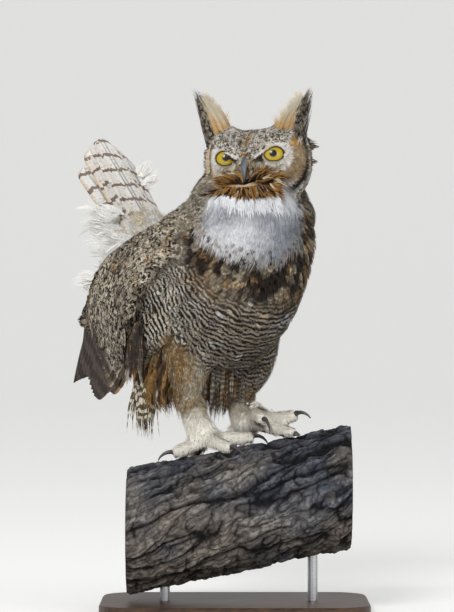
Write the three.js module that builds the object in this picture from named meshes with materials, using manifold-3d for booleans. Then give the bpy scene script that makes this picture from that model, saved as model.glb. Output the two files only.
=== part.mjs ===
// A life-size great horned owl, stepping along a short cut length of a thick branch that two rods
// carry above a round display base. Millimetres, +Z up. The owl heads along -Y with its left side
// towards +X, and the origin is the centre of the base's underside.
import * as THREE from "three";
import { mergeVertices } from "three/addons/utils/BufferGeometryUtils.js";
import Module from "manifold-3d";

const wasm = await Module();
wasm.setup();

// Driving dimensions. The owl's own places are measured from a point level with its standing foot.
const gap = 0.3; // clearance between pieces that touch
const thinnest = 0.4; // least half thickness of a section
const owlHeight = 184; // the owl's own origin above the floor
const owlOffset = new THREE.Vector3(0, 16, owlHeight);
const base = { length: 320, depth: 196, corner: 40, thickness: 12, bevel: 2 };
const branch = { radius: 74, length: 266, heading: -35, slope: 11.4, sides: 16, lumps: 2 };
const branchMiddle = { along: 14, aside: -22, ridge: 12 };
const rod = { radius: 6, sides: 12, spread: 88, sink: 14 };
const head = { centre: [4, -62, 350], turn: -55, roll: 4, nod: 3 };
const eye = { radius: 14.5, aside: 30, forward: 34, up: 5 };
const claw = { length: 25, root: 4.0, tip: 0.7, bend: 85 };
const toeRadii = [9.4, 9, 8.4, 7.4];

const across = new THREE.Vector3(1, 0, 0);
const upward = new THREE.Vector3(0, 0, 1);
const point = (p) => new THREE.Vector3(...p);
const radians = THREE.MathUtils.degToRad;

// ---- surfaces from rings -------------------------------------------------------------------

// A closed surface through rings of points, each end closed by a fan to the ring's middle.
function skinned(rings) {
  const sides = rings[0].length;
  const vertices = rings.flat();
  const middle = (ring) =>
    ring.reduce((sum, p) => sum.add(p), new THREE.Vector3()).divideScalar(sides);
  const firstCap = vertices.push(middle(rings[0])) - 1;
  const lastCap = vertices.push(middle(rings.at(-1))) - 1;
  const faces = [];
  const last = (rings.length - 1) * sides;
  for (let s = 0; s < sides; s++) {
    const next = (s + 1) % sides;
    for (let r = 0; r < last; r += sides) {
      faces.push(r + s, r + next, r + sides + s);
      faces.push(r + next, r + sides + next, r + sides + s);
    }
    faces.push(firstCap, next, s);
    faces.push(lastCap, last + s, last + next);
  }
  const geometry = new THREE.BufferGeometry().setFromPoints(vertices);
  geometry.setIndex(faces);
  return geometry;
}

// Rows of values between stations, smoothly through each of them.
function between(stations, steps) {
  const values = stations.map((s) => s.flat());
  const slope = (i, k) => {
    if (i === 0) return values[1][k] - values[0][k];
    if (i === values.length - 1) return values[i][k] - values[i - 1][k];
    return (values[i + 1][k] - values[i - 1][k]) / 2;
  };
  const rows = [];
  for (let n = 0; n <= steps; n++) {
    const t = (n / steps) * (values.length - 1);
    const i = Math.min(Math.floor(t), values.length - 2);
    const f = t - i;
    const far = 3 * f ** 2 - 2 * f ** 3;
    const leaving = f ** 3 - 2 * f ** 2 + f;
    const arriving = f ** 3 - f ** 2;
    rows.push(values[i].map((near, k) => (1 - far) * near + far * values[i + 1][k]
      + leaving * slope(i, k) + arriving * slope(i + 1, k)));
  }
  return rows;
}

// A body of oval sections along a spine. Each station is [[x, y, z], half width, reach above,
// reach below]. The half width lies along `side`, and above is square to that and to the spine:
// it is the front of a body that climbs and the back of one that falls. `round` is 2 for an
// ellipse and more for a squarer section, and `grow` swells the whole body.
function oval(stations, { steps, sides, side = across, round = 2, grow = 0 }) {
  const rows = between(stations, steps);
  const spine = rows.map((r) => new THREE.Vector3(r[0], r[1], r[2]));
  const rings = rows.map((row, n) => {
    const along = spine[Math.min(n + 1, steps)].clone().sub(spine[Math.max(n - 1, 0)]).normalize();
    const top = new THREE.Vector3().crossVectors(side, along).normalize();
    const wide = new THREE.Vector3().crossVectors(along, top);
    const [half, above, below] = row.slice(3).map((v) => Math.max(v, thinnest) + grow);
    const ends = n === 0 ? -grow : n === steps ? grow : 0;
    return Array.from({ length: sides }, (_, s) => {
      const turn = (s / sides) * 2 * Math.PI;
      const [c, d] = [Math.cos(turn), Math.sin(turn)];
      const [x, y] = [c, d].map((v) => Math.sign(v) * Math.abs(v) ** (2 / round));
      return spine[n].clone().addScaledVector(along, ends)
        .addScaledVector(wide, half * x).addScaledVector(top, (d > 0 ? above : below) * y);
    });
  });
  return skinned(rings);
}

// A flattened body between an upper and a lower edge. Each station is [upper edge, lower edge,
// half thickness], and `out` is the direction that its face looks in.
function blade(stations, { steps, sides, out }) {
  const rings = between(stations, steps).map((row) => {
    const [upper, lower] = [point(row.slice(0, 3)), point(row.slice(3, 6))];
    const half = upper.clone().sub(lower).multiplyScalar(0.5);
    const reach = half.length();
    const middle = upper.clone().add(lower).multiplyScalar(0.5);
    const rise = half.normalize();
    const face = out.clone().addScaledVector(rise, -out.dot(rise)).normalize();
    return Array.from({ length: sides }, (_, s) => {
      const turn = (s / sides) * 2 * Math.PI;
      return middle.clone().addScaledVector(rise, reach * Math.cos(turn))
        .addScaledVector(face, row[6] * Math.sin(turn));
    });
  });
  return skinned(rings);
}

// A round limb through points, with one radius for each.
function limb(points, radii, { steps, sides, grow = 0 }) {
  const stations = points.map((p, i) => [p, radii[i], radii[i], radii[i]]);
  const ends = point(points.at(-1)).sub(point(points[0]));
  const side = Math.abs(ends.x) > Math.hypot(ends.y, ends.z) ? new THREE.Vector3(0, 1, 0) : across;
  return oval(stations, { steps, sides, side, grow });
}

// ---- solids --------------------------------------------------------------------------------

function solid(geometry) {
  const bare = geometry.clone();
  for (const name of ["normal", "uv"]) bare.deleteAttribute(name);
  const merged = mergeVertices(bare, 1e-3);
  const made = new wasm.Manifold(new wasm.Mesh({
    numProp: 3,
    vertProperties: new Float32Array(merged.attributes.position.array),
    triVerts: new Uint32Array(merged.index.array),
  }));
  return made.volume() < 0 ? solid(turnedOver(geometry)) : made;
}

// The same surface with its faces turned to look the other way.
function turnedOver(geometry) {
  return geometry.clone().setIndex([...geometry.index.array].reverse());
}

// The largest body of what a cut leaves, because a cut can shave off slivers.
const largest = (cut) => cut.decompose().sort((a, b) => b.volume() - a.volume())[0];
const without = (body, ...cutters) =>
  largest(cutters.reduce((left, cutter) => left.subtract(cutter), body));

function geometryOf(body) {
  const mesh = body.getMesh();
  const places = new Float32Array(mesh.numVert * 3);
  for (let i = 0; i < mesh.numVert; i++)
    places.set(mesh.vertProperties.subarray(i * mesh.numProp, i * mesh.numProp + 3), i * 3);
  return new THREE.BufferGeometry()
    .setAttribute("position", new THREE.BufferAttribute(places, 3))
    .setIndex(new THREE.BufferAttribute(mesh.triVerts, 1));
}

// ---- head ----------------------------------------------------------------------------------

// From the head's own frame, where the face looks along -Y, into the owl's.
const headPlace = new THREE.Matrix4()
  .makeTranslation(...head.centre)
  .multiply(new THREE.Matrix4().makeRotationZ(radians(head.turn)))
  .multiply(new THREE.Matrix4().makeRotationX(radians(head.nod)))
  .multiply(new THREE.Matrix4().makeRotationY(radians(-head.roll)));
const onHead = (geometry) => solid(geometry.applyMatrix4(headPlace));

// Stations up the skull, each with its half width and its reach to the face and to the nape.
const skull = (grow = 0) => onHead(oval([
  [[0, -2, -50], 28, 32, 28],
  [[0, -2, -41], 48, 42, 42],
  [[0, -1, -22], 60, 46, 52],
  [[0, 0, 0], 63, 47, 56],
  [[0, 0, 20], 61, 44, 54],
  [[0, 0, 34], 49, 34, 45],
  [[0, 1, 42], 24, 18, 25],
], { steps: 8, sides: 18, round: 2.1, grow }));

const eyeball = (sign, grow = 0) => {
  const ball = new THREE.SphereGeometry(eye.radius + grow, 12, 8);
  return onHead(ball.translate(sign * eye.aside, -eye.forward, eye.up));
};

// The plug of face that an eye looks out of, and the shallow dish that hollows it.
const discPlug = (sign, grow = 0) => onHead(oval([
  [[sign * 28, -30, 2], 33, 40, 38],
  [[sign * 28, -45, 2], 32, 38, 37],
  [[sign * 28, -62, 2], 32, 38, 37],
], { steps: 2, sides: 14, grow }));
const dish = (sign) => {
  const ball = new THREE.SphereGeometry(58, 16, 12);
  return onHead(ball.translate(sign * 31, -100, 4));
};

const upperBill = (grow = 0) => onHead(oval([
  [[0, -44, 9], 6, 5, 5],
  [[0, -54, 4], 7, 6.5, 6],
  [[0, -60, -5], 5.8, 6, 5],
  [[0, -62, -16], 3.6, 4.4, 3.6],
  [[0, -59, -27], 0.9, 1, 1],
], { steps: 8, sides: 10, grow }));

const lowerBill = (grow = 0) => onHead(oval([
  [[0, -46, -15], 5, 2.6, 2.6],
  [[0, -52, -19], 4.2, 2.4, 2.4],
  [[0, -56, -24], 2, 1.4, 1.4],
], { steps: 3, sides: 8, grow }));

// The stiff ruff that hides the gape and the chin.
const ruff = (grow = 0) => onHead(oval([
  [[-44, -34, -24], 6, 6, 6],
  [[-34, -42, -29], 14, 12, 12],
  [[-16, -49, -33], 19, 13, 14],
  [[0, -51, -35], 20, 13, 15],
  [[16, -49, -33], 19, 13, 14],
  [[34, -42, -29], 14, 12, 12],
  [[44, -34, -24], 6, 6, 6],
], { steps: 6, sides: 8, side: upward, grow }));

// The left tuft is held a little lower than the right one.
const earTuft = (sign, droop = sign > 0 ? 0.87 : 1) => onHead(blade([
  [[sign * 28, -14, 32 * droop], [sign * 58, -10, 18 * droop], 9],
  [[sign * 32, -12, 44 * droop], [sign * 61, -9, 36 * droop], 8],
  [[sign * 42, -9, 61 * droop], [sign * 65, -6, 56 * droop], 5.5],
  [[sign * 56, -6, 77 * droop], [sign * 70, -4, 74 * droop], 3],
  [[sign * 70, -4, 89 * droop], [sign * 73, -4, 88 * droop], 0.7],
], { steps: 5, sides: 8, out: new THREE.Vector3(0, 1, 0) }));

// ---- neck, trunk and tail --------------------------------------------------------------------

// Stations up the neck, with the reach to the throat and to the nape. Its feathers are pushed
// over to the left and back by the turn of the head.
const neck = (grow = 0) => solid(oval([
  [[4, -50, 268], 56, 44, 54],
  [[6, -50, 286], 84, 58, 78],
  [[8, -45, 306], 80, 36, 78],
  [[8, -48, 326], 68, 24, 66],
  [[6, -54, 340], 50, 16, 50],
], { steps: 5, sides: 16, grow }));

// The puffed throat patch, under the bill and turned part of the way with it.
const bib = (grow = 0) => solid(oval([
  [[-22, -75, 320], 36, 20, 20],
  [[-25, -83, 302], 53, 28, 30],
  [[-26, -87, 278], 57, 32, 34],
  [[-23, -86, 254], 44, 27, 30],
  [[-19, -83, 236], 18, 12, 16],
], { steps: 5, sides: 14, side: new THREE.Vector3(0.82, -0.57, 0), grow }));

// Stations down the back, with the reach to the back and to the belly.
const trunk = (grow = 0) => solid(oval([
  [[0, -52, 318], 50, 50, 46],
  [[0, -52, 284], 80, 88, 78],
  [[0, -22, 240], 85, 101, 100],
  [[0, 24, 200], 84, 99, 108],
  [[0, 84, 188], 67, 98, 80],
  [[0, 124, 196], 48, 72, 52],
  [[0, 150, 214], 30, 40, 30],
], { steps: 10, sides: 18, grow }));

const tailRoot = point([0, 130, 206]);
const tailTip = point([0, 273, 390]);
const tailStation = (share, half, above, below) =>
  [tailRoot.clone().lerp(tailTip, share).toArray(), half, above, below];

const tail = (grow = 0) => solid(oval([
  tailStation(0, 24, 12, 12),
  tailStation(0.25, 31, 10, 10),
  tailStation(0.5, 34, 6, 7),
  tailStation(0.75, 34, 4, 4),
  tailStation(0.92, 29, 3, 3),
  tailStation(1, 14, 2, 2),
], { steps: 7, sides: 12, grow }));

// The loose white down below and beside the tail.
const tailCoverts = () => solid(oval([
  [[0, 140, 166], 36, 26, 26],
  [[0, 178, 208], 52, 34, 36],
  [[0, 206, 252], 56, 32, 34],
  [[0, 232, 298], 56, 22, 24],
  [[0, 250, 334], 52, 10, 12],
  [[0, 262, 356], 26, 3, 4],
], { steps: 6, sides: 12 }));

// ---- wings -----------------------------------------------------------------------------------

// Stations from the bend of the wing to its tip: upper edge, lower edge and half thickness.
const wing = (sign) => solid(blade([
  [[sign * 66, -40, 270], [sign * 76, -46, 244], 10],
  [[sign * 56, 13, 292], [sign * 96, -20, 232], 17],
  [[sign * 48, 74, 292], [sign * 101, 18, 212], 20],
  [[sign * 58, 108, 284], [sign * 101, 44, 182], 18],
  [[sign * 68, 140, 260], [sign * 98, 60, 152], 16],
  [[sign * 76, 166, 224], [sign * 93, 78, 128], 13],
  [[sign * 74, 198, 180], [sign * 85, 94, 104], 10],
  [[sign * 66, 220, 134], [sign * 73, 138, 78], 6],
  [[sign * 58, 254, 88], [sign * 60, 196, 64], 1.5],
], { steps: 9, sides: 12, out: new THREE.Vector3(sign, 0, 0.3) }));

// The flight feathers show beyond a slanting cut through the wing.
const coverLine = { along: new THREE.Vector3(0, 0.35, -0.94), through: point([0, 150, 138]) };

// ---- legs ------------------------------------------------------------------------------------

const thighStations = {
  right: [[[-46, 8, 156], 30, 36, 34], [[-47, 14, 128], 32, 36, 36], [[-44, 20, 98], 25, 28, 28],
    [[-39, 28, 68], 15, 17, 17]],
  left: [[[42, 10, 156], 34, 36, 38], [[42, 13, 126], 34, 36, 38], [[40, 20, 98], 31, 31, 32],
    [[36, 32, 74], 16, 18, 18]],
};
const shankStations = {
  right: [[[-39, 31, 78], 16], [[-37, 18, 52], 15.5], [[-35, 4, 30], 20], [[-33, -6, 20], 17]],
  left: [[[36, 38, 92], 14], [[37, 31, 66], 15.5], [[35, 12, 44], 20], [[34, -5, 38], 19]],
};
const thigh = (side, grow = 0) => solid(oval(thighStations[side], { steps: 5, sides: 12, grow }));
const shank = (side, grow = 0) => solid(limb(
  shankStations[side].map(([p]) => p),
  shankStations[side].map(([, radius]) => radius),
  { steps: 4, sides: 10, grow },
));

// Loose plumes that hang behind each thigh.
const plumes = (sign) => solid(oval([
  [[sign * 47, 62, 136], 28, 32, 34],
  [[sign * 52, 76, 106], 26, 34, 38],
  [[sign * 54, 84, 78], 20, 31, 36],
  [[sign * 57, 92, 50], 12, 20, 26],
  [[sign * 59, 98, 22], 4, 6, 8],
], { steps: 5, sides: 10 }));

// ---- branch, toes and claws ------------------------------------------------------------------

const branchTurn = radians(branch.heading);
const branchAlong = new THREE.Vector3(Math.cos(branchTurn), Math.sin(branchTurn), 0);
const branchAside = new THREE.Vector3(-Math.sin(branchTurn), Math.cos(branchTurn), 0);
const branchRise = Math.tan(radians(branch.slope));

// The height of the branch's surface over a place on the floor.
function branchTop(x, y) {
  const place = new THREE.Vector3(x, y, 0);
  const off = place.dot(branchAside) - branchMiddle.aside;
  const ridge = branchMiddle.ridge + branchRise * (place.dot(branchAlong) - branchMiddle.along);
  return ridge - branch.radius + Math.sqrt(Math.max(branch.radius ** 2 - off ** 2, 1));
}

function branchSolid(grow = 0) {
  const slope = radians(branch.slope);
  const line = branchAlong.clone().multiplyScalar(Math.cos(slope))
    .addScaledVector(upward, Math.sin(slope));
  const top = new THREE.Vector3().crossVectors(line, branchAside).normalize();
  const middle = branchAlong.clone().multiplyScalar(branchMiddle.along)
    .addScaledVector(branchAside, branchMiddle.aside)
    .setZ(branchMiddle.ridge - branch.radius / Math.cos(slope));
  const rings = [];
  const steps = 6;
  for (let n = 0; n <= steps; n++) {
    const reach = (n / steps - 0.5) * (branch.length + 2 * grow);
    rings.push(Array.from({ length: branch.sides }, (_, s) => {
      const turn = (s / branch.sides) * 2 * Math.PI;
      const lump = Math.sin(3 * turn + reach / 40) + Math.sin(2 * turn - reach / 60) - 1.6;
      const radius = branch.radius + grow + branch.lumps * Math.min(lump, 0);
      return middle.clone().addScaledVector(line, reach)
        .addScaledVector(branchAside, radius * Math.cos(turn))
        .addScaledVector(top, radius * Math.sin(turn));
    }));
  }
  return solid(skinned(rings));
}

// Each toe runs from its root to its tip, the standing ones at a height over the bark.
const standing = (x, y, lift) => [x, y, branchTop(x, y) + lift];
const toePaths = {
  right_inner: [[-32, -6, 22], standing(-14, -16, 12), standing(2, -23, 9), standing(18, -28, 7)],
  right_middle: [[-34, -8, 21], standing(-33, -22, 12), standing(-30, -34, 9), standing(-27, -45, 7)],
  right_outer: [[-36, -1, 22], standing(-48, 4, 12), standing(-59, 9, 9), standing(-68, 13, 7)],
  right_hind: [[-32, 4, 22], standing(-28, 17, 12), standing(-27, 28, 9), standing(-26, 38, 7)],
  left_inner: [[33, -4, 43], [31, -15, 46], [29, -26, 46], [28, -36, 43]],
  left_middle: [[35, -8, 38], [40, -29, 34], [46, -49, 30], [51, -67, 26]],
  left_outer: [[39, -5, 42], [46, -22, 43], [54, -40, 45], [61, -56, 48]],
  left_hind: [[33, 10, 36], [30, 20, 30], [28, 28, 25], [27, 34, 21]],
};
const clawPitch = { left_inner: -5, left_middle: -10, left_outer: 25, left_hind: -20 };

const toe = (path, grow = 0) => solid(limb(path, toeRadii, { steps: 3, sides: 7, grow }));

// A claw leaves the toe's end and curls down as it goes.
function clawFrom(path, pitch = 12) {
  const heading = point(path.at(-1)).sub(point(path.at(-2))).setZ(0).normalize();
  const at = point(path.at(-1)).addScaledVector(heading, -2).addScaledVector(upward, 1.5);
  const steps = 6;
  const places = [];
  for (let n = 0; n <= steps; n++) {
    places.push(at.toArray());
    const turn = radians(pitch - (claw.bend * n) / steps);
    at.addScaledVector(heading, (Math.cos(turn) * claw.length) / steps);
    at.addScaledVector(upward, (Math.sin(turn) * claw.length) / steps);
  }
  const radii = places.map((_, n) => claw.root + (claw.tip - claw.root) * (n / steps) ** 0.8);
  return solid(limb(places, radii, { steps: 5, sides: 6 }));
}

// ---- stand -----------------------------------------------------------------------------------

// A plate with round corners, its long side along the branch.
function baseSolid() {
  const { length, depth, corner, thickness, bevel } = base;
  const [x, y] = [length / 2 - bevel, depth / 2 - bevel];
  const outline = new THREE.Shape();
  outline.moveTo(corner - x, -y);
  for (const [cx, cy, start] of [[x, -y, 270], [x, y, 0], [-x, y, 90], [-x, -y, 180]]) {
    const [ax, ay] = [cx - Math.sign(cx) * corner, cy - Math.sign(cy) * corner];
    outline.absarc(ax, ay, corner, radians(start), radians(start + 90));
  }
  const plate = new THREE.ExtrudeGeometry(outline, {
    depth: thickness - 2 * bevel, bevelThickness: bevel, bevelSize: bevel, bevelSegments: 1,
    curveSegments: 4,
  });
  return solid(plate.translate(0, 0, bevel).rotateZ(branchTurn));
}

// A rod stands on the base and ends inside the branch, in a hole of its own size.
function rodSolid(reach, grow = 0) {
  const foot = branchAlong.clone().multiplyScalar(branchMiddle.along + reach)
    .addScaledVector(branchAside, branchMiddle.aside);
  const low = base.thickness - owlHeight + gap;
  const high = branchMiddle.ridge + branchRise * reach - 2 * branch.radius + rod.sink;
  const radius = rod.radius + grow;
  const shaft = new THREE.CylinderGeometry(radius, radius, high - low + grow, rod.sides);
  return solid(shaft.rotateX(Math.PI / 2).translate(foot.x, foot.y, (low + high + grow) / 2));
}

// ---- the model -------------------------------------------------------------------------------

const finishes = {
  plumage: { color: 0x7a6a58, roughness: 0.9 },
  barred: { color: 0x8c7f70, roughness: 0.9 },
  white: { color: 0xe6e2da, roughness: 0.9 },
  face: { color: 0xb98f5c, roughness: 0.9 },
  flight: { color: 0x6b5847, roughness: 0.8 },
  tail: { color: 0xc9bba8, roughness: 0.8 },
  leg: { color: 0xd8d0c2, roughness: 0.9 },
  horn: { color: 0x2b2a2c, roughness: 0.35 },
  iris: { color: 0xd9a90f, roughness: 0.1 },
  bark: { color: 0x4c433a, roughness: 0.95 },
  steel: { color: 0x8f9296, roughness: 0.3, metalness: 1 },
  wood: { color: 0x3b2a1e, roughness: 0.5 },
};
for (const [name, finish] of Object.entries(finishes))
  finishes[name] = new THREE.MeshStandardMaterial({ ...finish, name });

const owl = new THREE.Group();
owl.position.copy(owlOffset);
const model = new THREE.Group();
model.add(owl);

function add(name, body, finish, group = owl) {
  const mesh = new THREE.Mesh(geometryOf(body), finishes[finish]);
  mesh.name = name;
  group.add(mesh);
}

const sides = { right: -1, left: 1 };
const bothSides = (make) => Object.values(sides).map(make);

const skullCutter = skull(gap);
const neckCutter = neck(gap);
const bibCutter = bib(gap);
const trunkCutter = trunk(gap);
const billCutter = upperBill(gap);
const eyeCutters = bothSides((sign) => eyeball(sign, gap));

// The discs stand a little proud of the skull, which is cut away behind them.
const discRise = 2;
const faceCutters = [
  skullCutter,
  ...bothSides((sign) => skull(discRise + gap).intersect(discPlug(sign, gap))),
];
const headCutters = [...faceCutters, ...eyeCutters, billCutter];

add("head", without(skull(), ...bothSides((sign) => discPlug(sign, gap)), ...eyeCutters, billCutter),
  "plumage");
add("bill_upper", upperBill(), "horn");
add("bill_lower", without(lowerBill(), ...headCutters), "horn");
for (const [side, sign] of Object.entries(sides)) {
  const outward = across.clone().multiplyScalar(sign).transformDirection(headPlace);
  const middle = outward.dot(point(head.centre)) + gap / 2;
  const disc = skull(discRise).intersect(discPlug(sign)).trimByPlane(outward.toArray(), middle);
  add(`facial_disc_${side}`, without(disc, dish(sign), billCutter, ...eyeCutters), "face");
  add(`eye_${side}`, eyeball(sign), "iris");
  add(`ear_tuft_${side}`, without(earTuft(sign), skullCutter), "plumage");
}

const ruffCutter = ruff(gap);
add("chin_ruff", without(ruff(), lowerBill(gap), ...headCutters), "face");
add("throat_bib", without(bib(), ruffCutter, ...headCutters), "white");
add("neck", without(neck(), bibCutter, ruffCutter, lowerBill(gap), ...headCutters), "plumage");
add("trunk", without(trunk(), neckCutter, bibCutter, skullCutter), "barred");

const tailCutter = tail(gap);
add("tail", without(tail(), trunkCutter), "tail");
add("tail_coverts", without(tailCoverts(), trunkCutter, tailCutter), "white");

const branchCutter = branchSolid(gap);
for (const [side, sign] of Object.entries(sides)) {
  const folded = without(wing(sign), trunkCutter, neckCutter, skullCutter, tailCutter, bibCutter);
  const start = coverLine.along.dot(coverLine.through);
  const [coverts, flight] = [-1, 1].map((way) => {
    const normal = coverLine.along.clone().multiplyScalar(way);
    return largest(folded.trimByPlane(normal.toArray(), way * start + gap / 2));
  });
  add(`wing_${side}`, coverts, "plumage");
  add(`flight_feathers_${side}`, flight, "flight");

  const legCutters = [trunkCutter, thigh(side, gap)];
  const shankCutter = shank(side, gap);
  add(`thigh_${side}`, without(thigh(side), trunkCutter), "barred");
  add(`shank_${side}`, without(shank(side), ...legCutters, branchCutter), "leg");
  add(`thigh_plumes_${side}`, without(plumes(sign), ...legCutters, shankCutter), "face");

  const toeCutters = [shankCutter, branchCutter];
  const footPaths = Object.entries(toePaths).filter(([toeName]) => toeName.startsWith(side));
  for (const [toeName, path] of footPaths) {
    const pitch = clawPitch[toeName];
    add(`toe_${toeName}`, without(toe(path), ...toeCutters), "leg");
    add(`claw_${toeName}`, without(clawFrom(path, pitch), toe(path, gap), branchCutter), "horn");
    toeCutters.push(toe(path, gap));
  }
}

const rodReaches = [-rod.spread, rod.spread];
for (const [n, reach] of rodReaches.entries()) add(`stand_rod_${n + 1}`, rodSolid(reach), "steel");
add("perch", without(branchSolid(), ...rodReaches.map((reach) => rodSolid(reach, gap))), "bark");
add("stand_base", baseSolid(), "wood", model);

export default model;
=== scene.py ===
import itertools
import math

import bpy
import numpy as np
from mathutils.bvhtree import BVHTree
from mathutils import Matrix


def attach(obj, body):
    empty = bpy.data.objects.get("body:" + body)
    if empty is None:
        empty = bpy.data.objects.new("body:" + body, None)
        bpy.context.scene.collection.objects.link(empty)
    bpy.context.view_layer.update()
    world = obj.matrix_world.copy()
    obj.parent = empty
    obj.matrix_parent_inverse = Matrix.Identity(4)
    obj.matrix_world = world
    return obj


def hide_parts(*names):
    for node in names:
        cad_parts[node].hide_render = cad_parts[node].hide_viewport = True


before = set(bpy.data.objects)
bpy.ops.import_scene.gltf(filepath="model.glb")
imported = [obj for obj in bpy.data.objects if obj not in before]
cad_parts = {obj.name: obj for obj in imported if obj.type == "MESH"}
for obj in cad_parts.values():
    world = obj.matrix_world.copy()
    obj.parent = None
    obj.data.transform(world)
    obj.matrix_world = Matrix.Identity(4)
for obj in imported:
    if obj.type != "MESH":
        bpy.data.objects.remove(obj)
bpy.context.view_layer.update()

dice = np.random.default_rng(11)
between = dice.uniform

# places
# The owl's own frame is in millimetres: X to its left, -Y forward, Z up, with Z 0 where its foot stands.
owlOrigin = np.array([0.0, 16.0, 184.0])
branchTurn = math.radians(-35)
branchAlong = np.array([math.cos(branchTurn), math.sin(branchTurn), 0.0])
branchAside = np.array([-branchAlong[1], branchAlong[0], 0.0])
headCentre = np.array([4.0, -62.0, 350.0])


def turnMatrix(axis, degrees):
    c, s = math.cos(math.radians(degrees)), math.sin(math.radians(degrees))
    rows = {"x": [[1, 0, 0], [0, c, -s], [0, s, c]], "y": [[c, 0, s], [0, 1, 0], [-s, 0, c]],
            "z": [[c, -s, 0], [s, c, 0], [0, 0, 1]]}
    return np.array(rows[axis])


headTurn = turnMatrix("z", -55) @ turnMatrix("x", 3) @ turnMatrix("y", -4)


def onHead(points):
    return np.asarray(points, float) @ headTurn.T + headCentre


def headLocal(points):
    return (np.asarray(points, float) - headCentre) @ headTurn


def fromHead(directions):
    return np.asarray(directions, float) @ headTurn.T


def unit(vectors):
    return vectors / np.maximum(np.linalg.norm(vectors, axis=-1, keepdims=True), 1e-9)


def ease(low, high, values):
    t = np.clip((values - low) / (high - low), 0, 1)
    return t * t * (3 - 2 * t)


def flat(vectors, normals):      # the part of each vector that lies in the surface
    return unit(vectors - normals * (vectors * normals).sum(-1, keepdims=True))


def jitter(count, size):         # small random vectors
    return dice.normal(0, size, (count, 3))


def circle(count):               # even angles round a circle
    return np.linspace(0, 2 * math.pi, count, endpoint=False)


def columns(*values):            # arrays and plain numbers side by side
    return np.stack(np.broadcast_arrays(*values), -1)


def cloud(points, size, seed):   # smooth noise between -1 and 1
    p = np.asarray(points, float) / size + seed * 7.31
    cell = np.floor(p)
    f = p - cell
    f = f * f * (3 - 2 * f)
    total = np.zeros(len(p))
    for corner in itertools.product((0, 1), repeat=3):
        at = cell + corner
        h = np.sin(at @ np.array([127.1, 311.7, 74.7]) + seed) * 43758.5453
        weight = np.where(np.array(corner) == 1, f, 1 - f).prod(1)
        total += (h - np.floor(h)) * weight
    return total * 2 - 1


def paintColour(red, green, blue):   # display values 0 to 255 to scene-linear
    c = np.array([red, green, blue]) / 255
    return np.where(c <= 0.04045, c / 12.92, ((c + 0.055) / 1.055) ** 2.4)


def spline(knots, count):        # a smooth path through the knots, with any number of columns
    knots = np.asarray(knots, float)
    t = np.linspace(0, len(knots) - 1, count)
    i = np.minimum(t.astype(int), len(knots) - 2)
    f = (t - i)[:, None]
    before = knots[np.maximum(i - 1, 0)]
    after = knots[np.minimum(i + 2, len(knots) - 1)]
    a, b = knots[i], knots[i + 1]
    return 0.5 * (2 * a + (b - before) * f + (2 * before - 5 * a + 4 * b - after) * f ** 2
                  + (3 * a - before - 3 * b + after) * f ** 3)


# meshes
def newObject(name, data):
    made = bpy.data.objects.new(name, data)
    bpy.context.scene.collection.objects.link(made)
    return made


def gridFaces(rows, columns, closed=False, start=0):
    i, j = np.meshgrid(np.arange(rows - 1), np.arange(columns if closed else columns - 1), indexing="ij")
    a, b = i * columns + j, i * columns + (j + 1) % columns
    quads = np.stack([a, b, b + columns, a + columns], -1).reshape(-1, 4) + start
    return np.concatenate([quads[:, [0, 1, 2]], quads[:, [0, 2, 3]]])


def makePiece(name, points, faces, marks=None, patches=None, material=None, slotName="plumage", standsFor=(),
              staged=False):
    mesh = bpy.data.meshes.new(name)
    place = (np.asarray(points, float) + owlOrigin) / 1000
    mesh.vertices.add(len(place))
    mesh.vertices.foreach_set("co", place.astype(np.float32).ravel())
    mesh.loops.add(faces.size)
    mesh.loops.foreach_set("vertex_index", faces.astype(np.int32).ravel())
    mesh.polygons.add(len(faces))
    mesh.polygons.foreach_set("loop_start", (np.arange(len(faces)) * 3).astype(np.int32))
    mesh.polygons.foreach_set("use_smooth", np.ones(len(faces), bool))
    mesh.update(calc_edges=True)
    for key, values in (marks or {}).items():
        values = np.asarray(values, np.float32)
        layer = mesh.attributes.new(key, "FLOAT" if values.ndim == 1 else "FLOAT_VECTOR", "POINT")
        layer.data.foreach_set("value" if values.ndim == 1 else "vector", values.ravel())
    if patches is not None:
        layer = mesh.uv_layers.new(name="OFBake")
        layer.uv.foreach_set("vector", patches[faces.ravel()].astype(np.float32).ravel())
    mesh.materials.append(material or plumage)
    piece = newObject(name, mesh)
    if staged:
        return
    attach(piece, "root")
    if standsFor:
        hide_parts(*standsFor)
    print("made", name, len(place), "points", len(faces), "triangles")


def tube(path, radii, sides):    # radii holds across, front and back of each section
    path, radii = np.asarray(path, float), np.asarray(radii, float)
    if radii.ndim == 1:
        radii = np.stack([radii] * 3, 1)
    along = unit(np.gradient(path, axis=0))
    across = flat(np.broadcast_to([1.0, 0, 0], path.shape), along)
    front = np.cross(across, along)
    angle = circle(sides)
    reach = np.where(np.sin(angle)[None] > 0, radii[:, 1:2], radii[:, 2:3])
    ring = path[:, None] + across[:, None] * (radii[:, :1] * np.cos(angle))[..., None] \
        + front[:, None] * (reach * np.sin(angle))[..., None]
    count, body = len(path) * sides, (len(path) - 1) * sides
    j = np.arange(sides)
    first = np.stack([(j + 1) % sides, j, np.full(sides, count)], 1)
    last = np.stack([j + body, (j + 1) % sides + body, np.full(sides, count + 1)], 1)
    return np.concatenate([ring.reshape(-1, 3), path[:1], path[-1:]]), \
        np.concatenate([gridFaces(len(path), sides, closed=True), first, last])


def gather(rows):                # joins each column of a list of rows of arrays
    return [np.concatenate(part) for part in zip(*rows)]


def repeatFaces(one, count, points):     # the same faces for each of count parts
    starts = np.arange(count) * points
    return (np.asarray(one)[None] + starts[:, None, None]).reshape(-1, 3)


def together(parts):             # joins (points, faces) pairs
    points, faces, start = [], [], 0
    for p, f in parts:
        points.append(p)
        faces.append(f + start)
        start += len(p)
    return np.concatenate(points), np.concatenate(faces)


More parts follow.
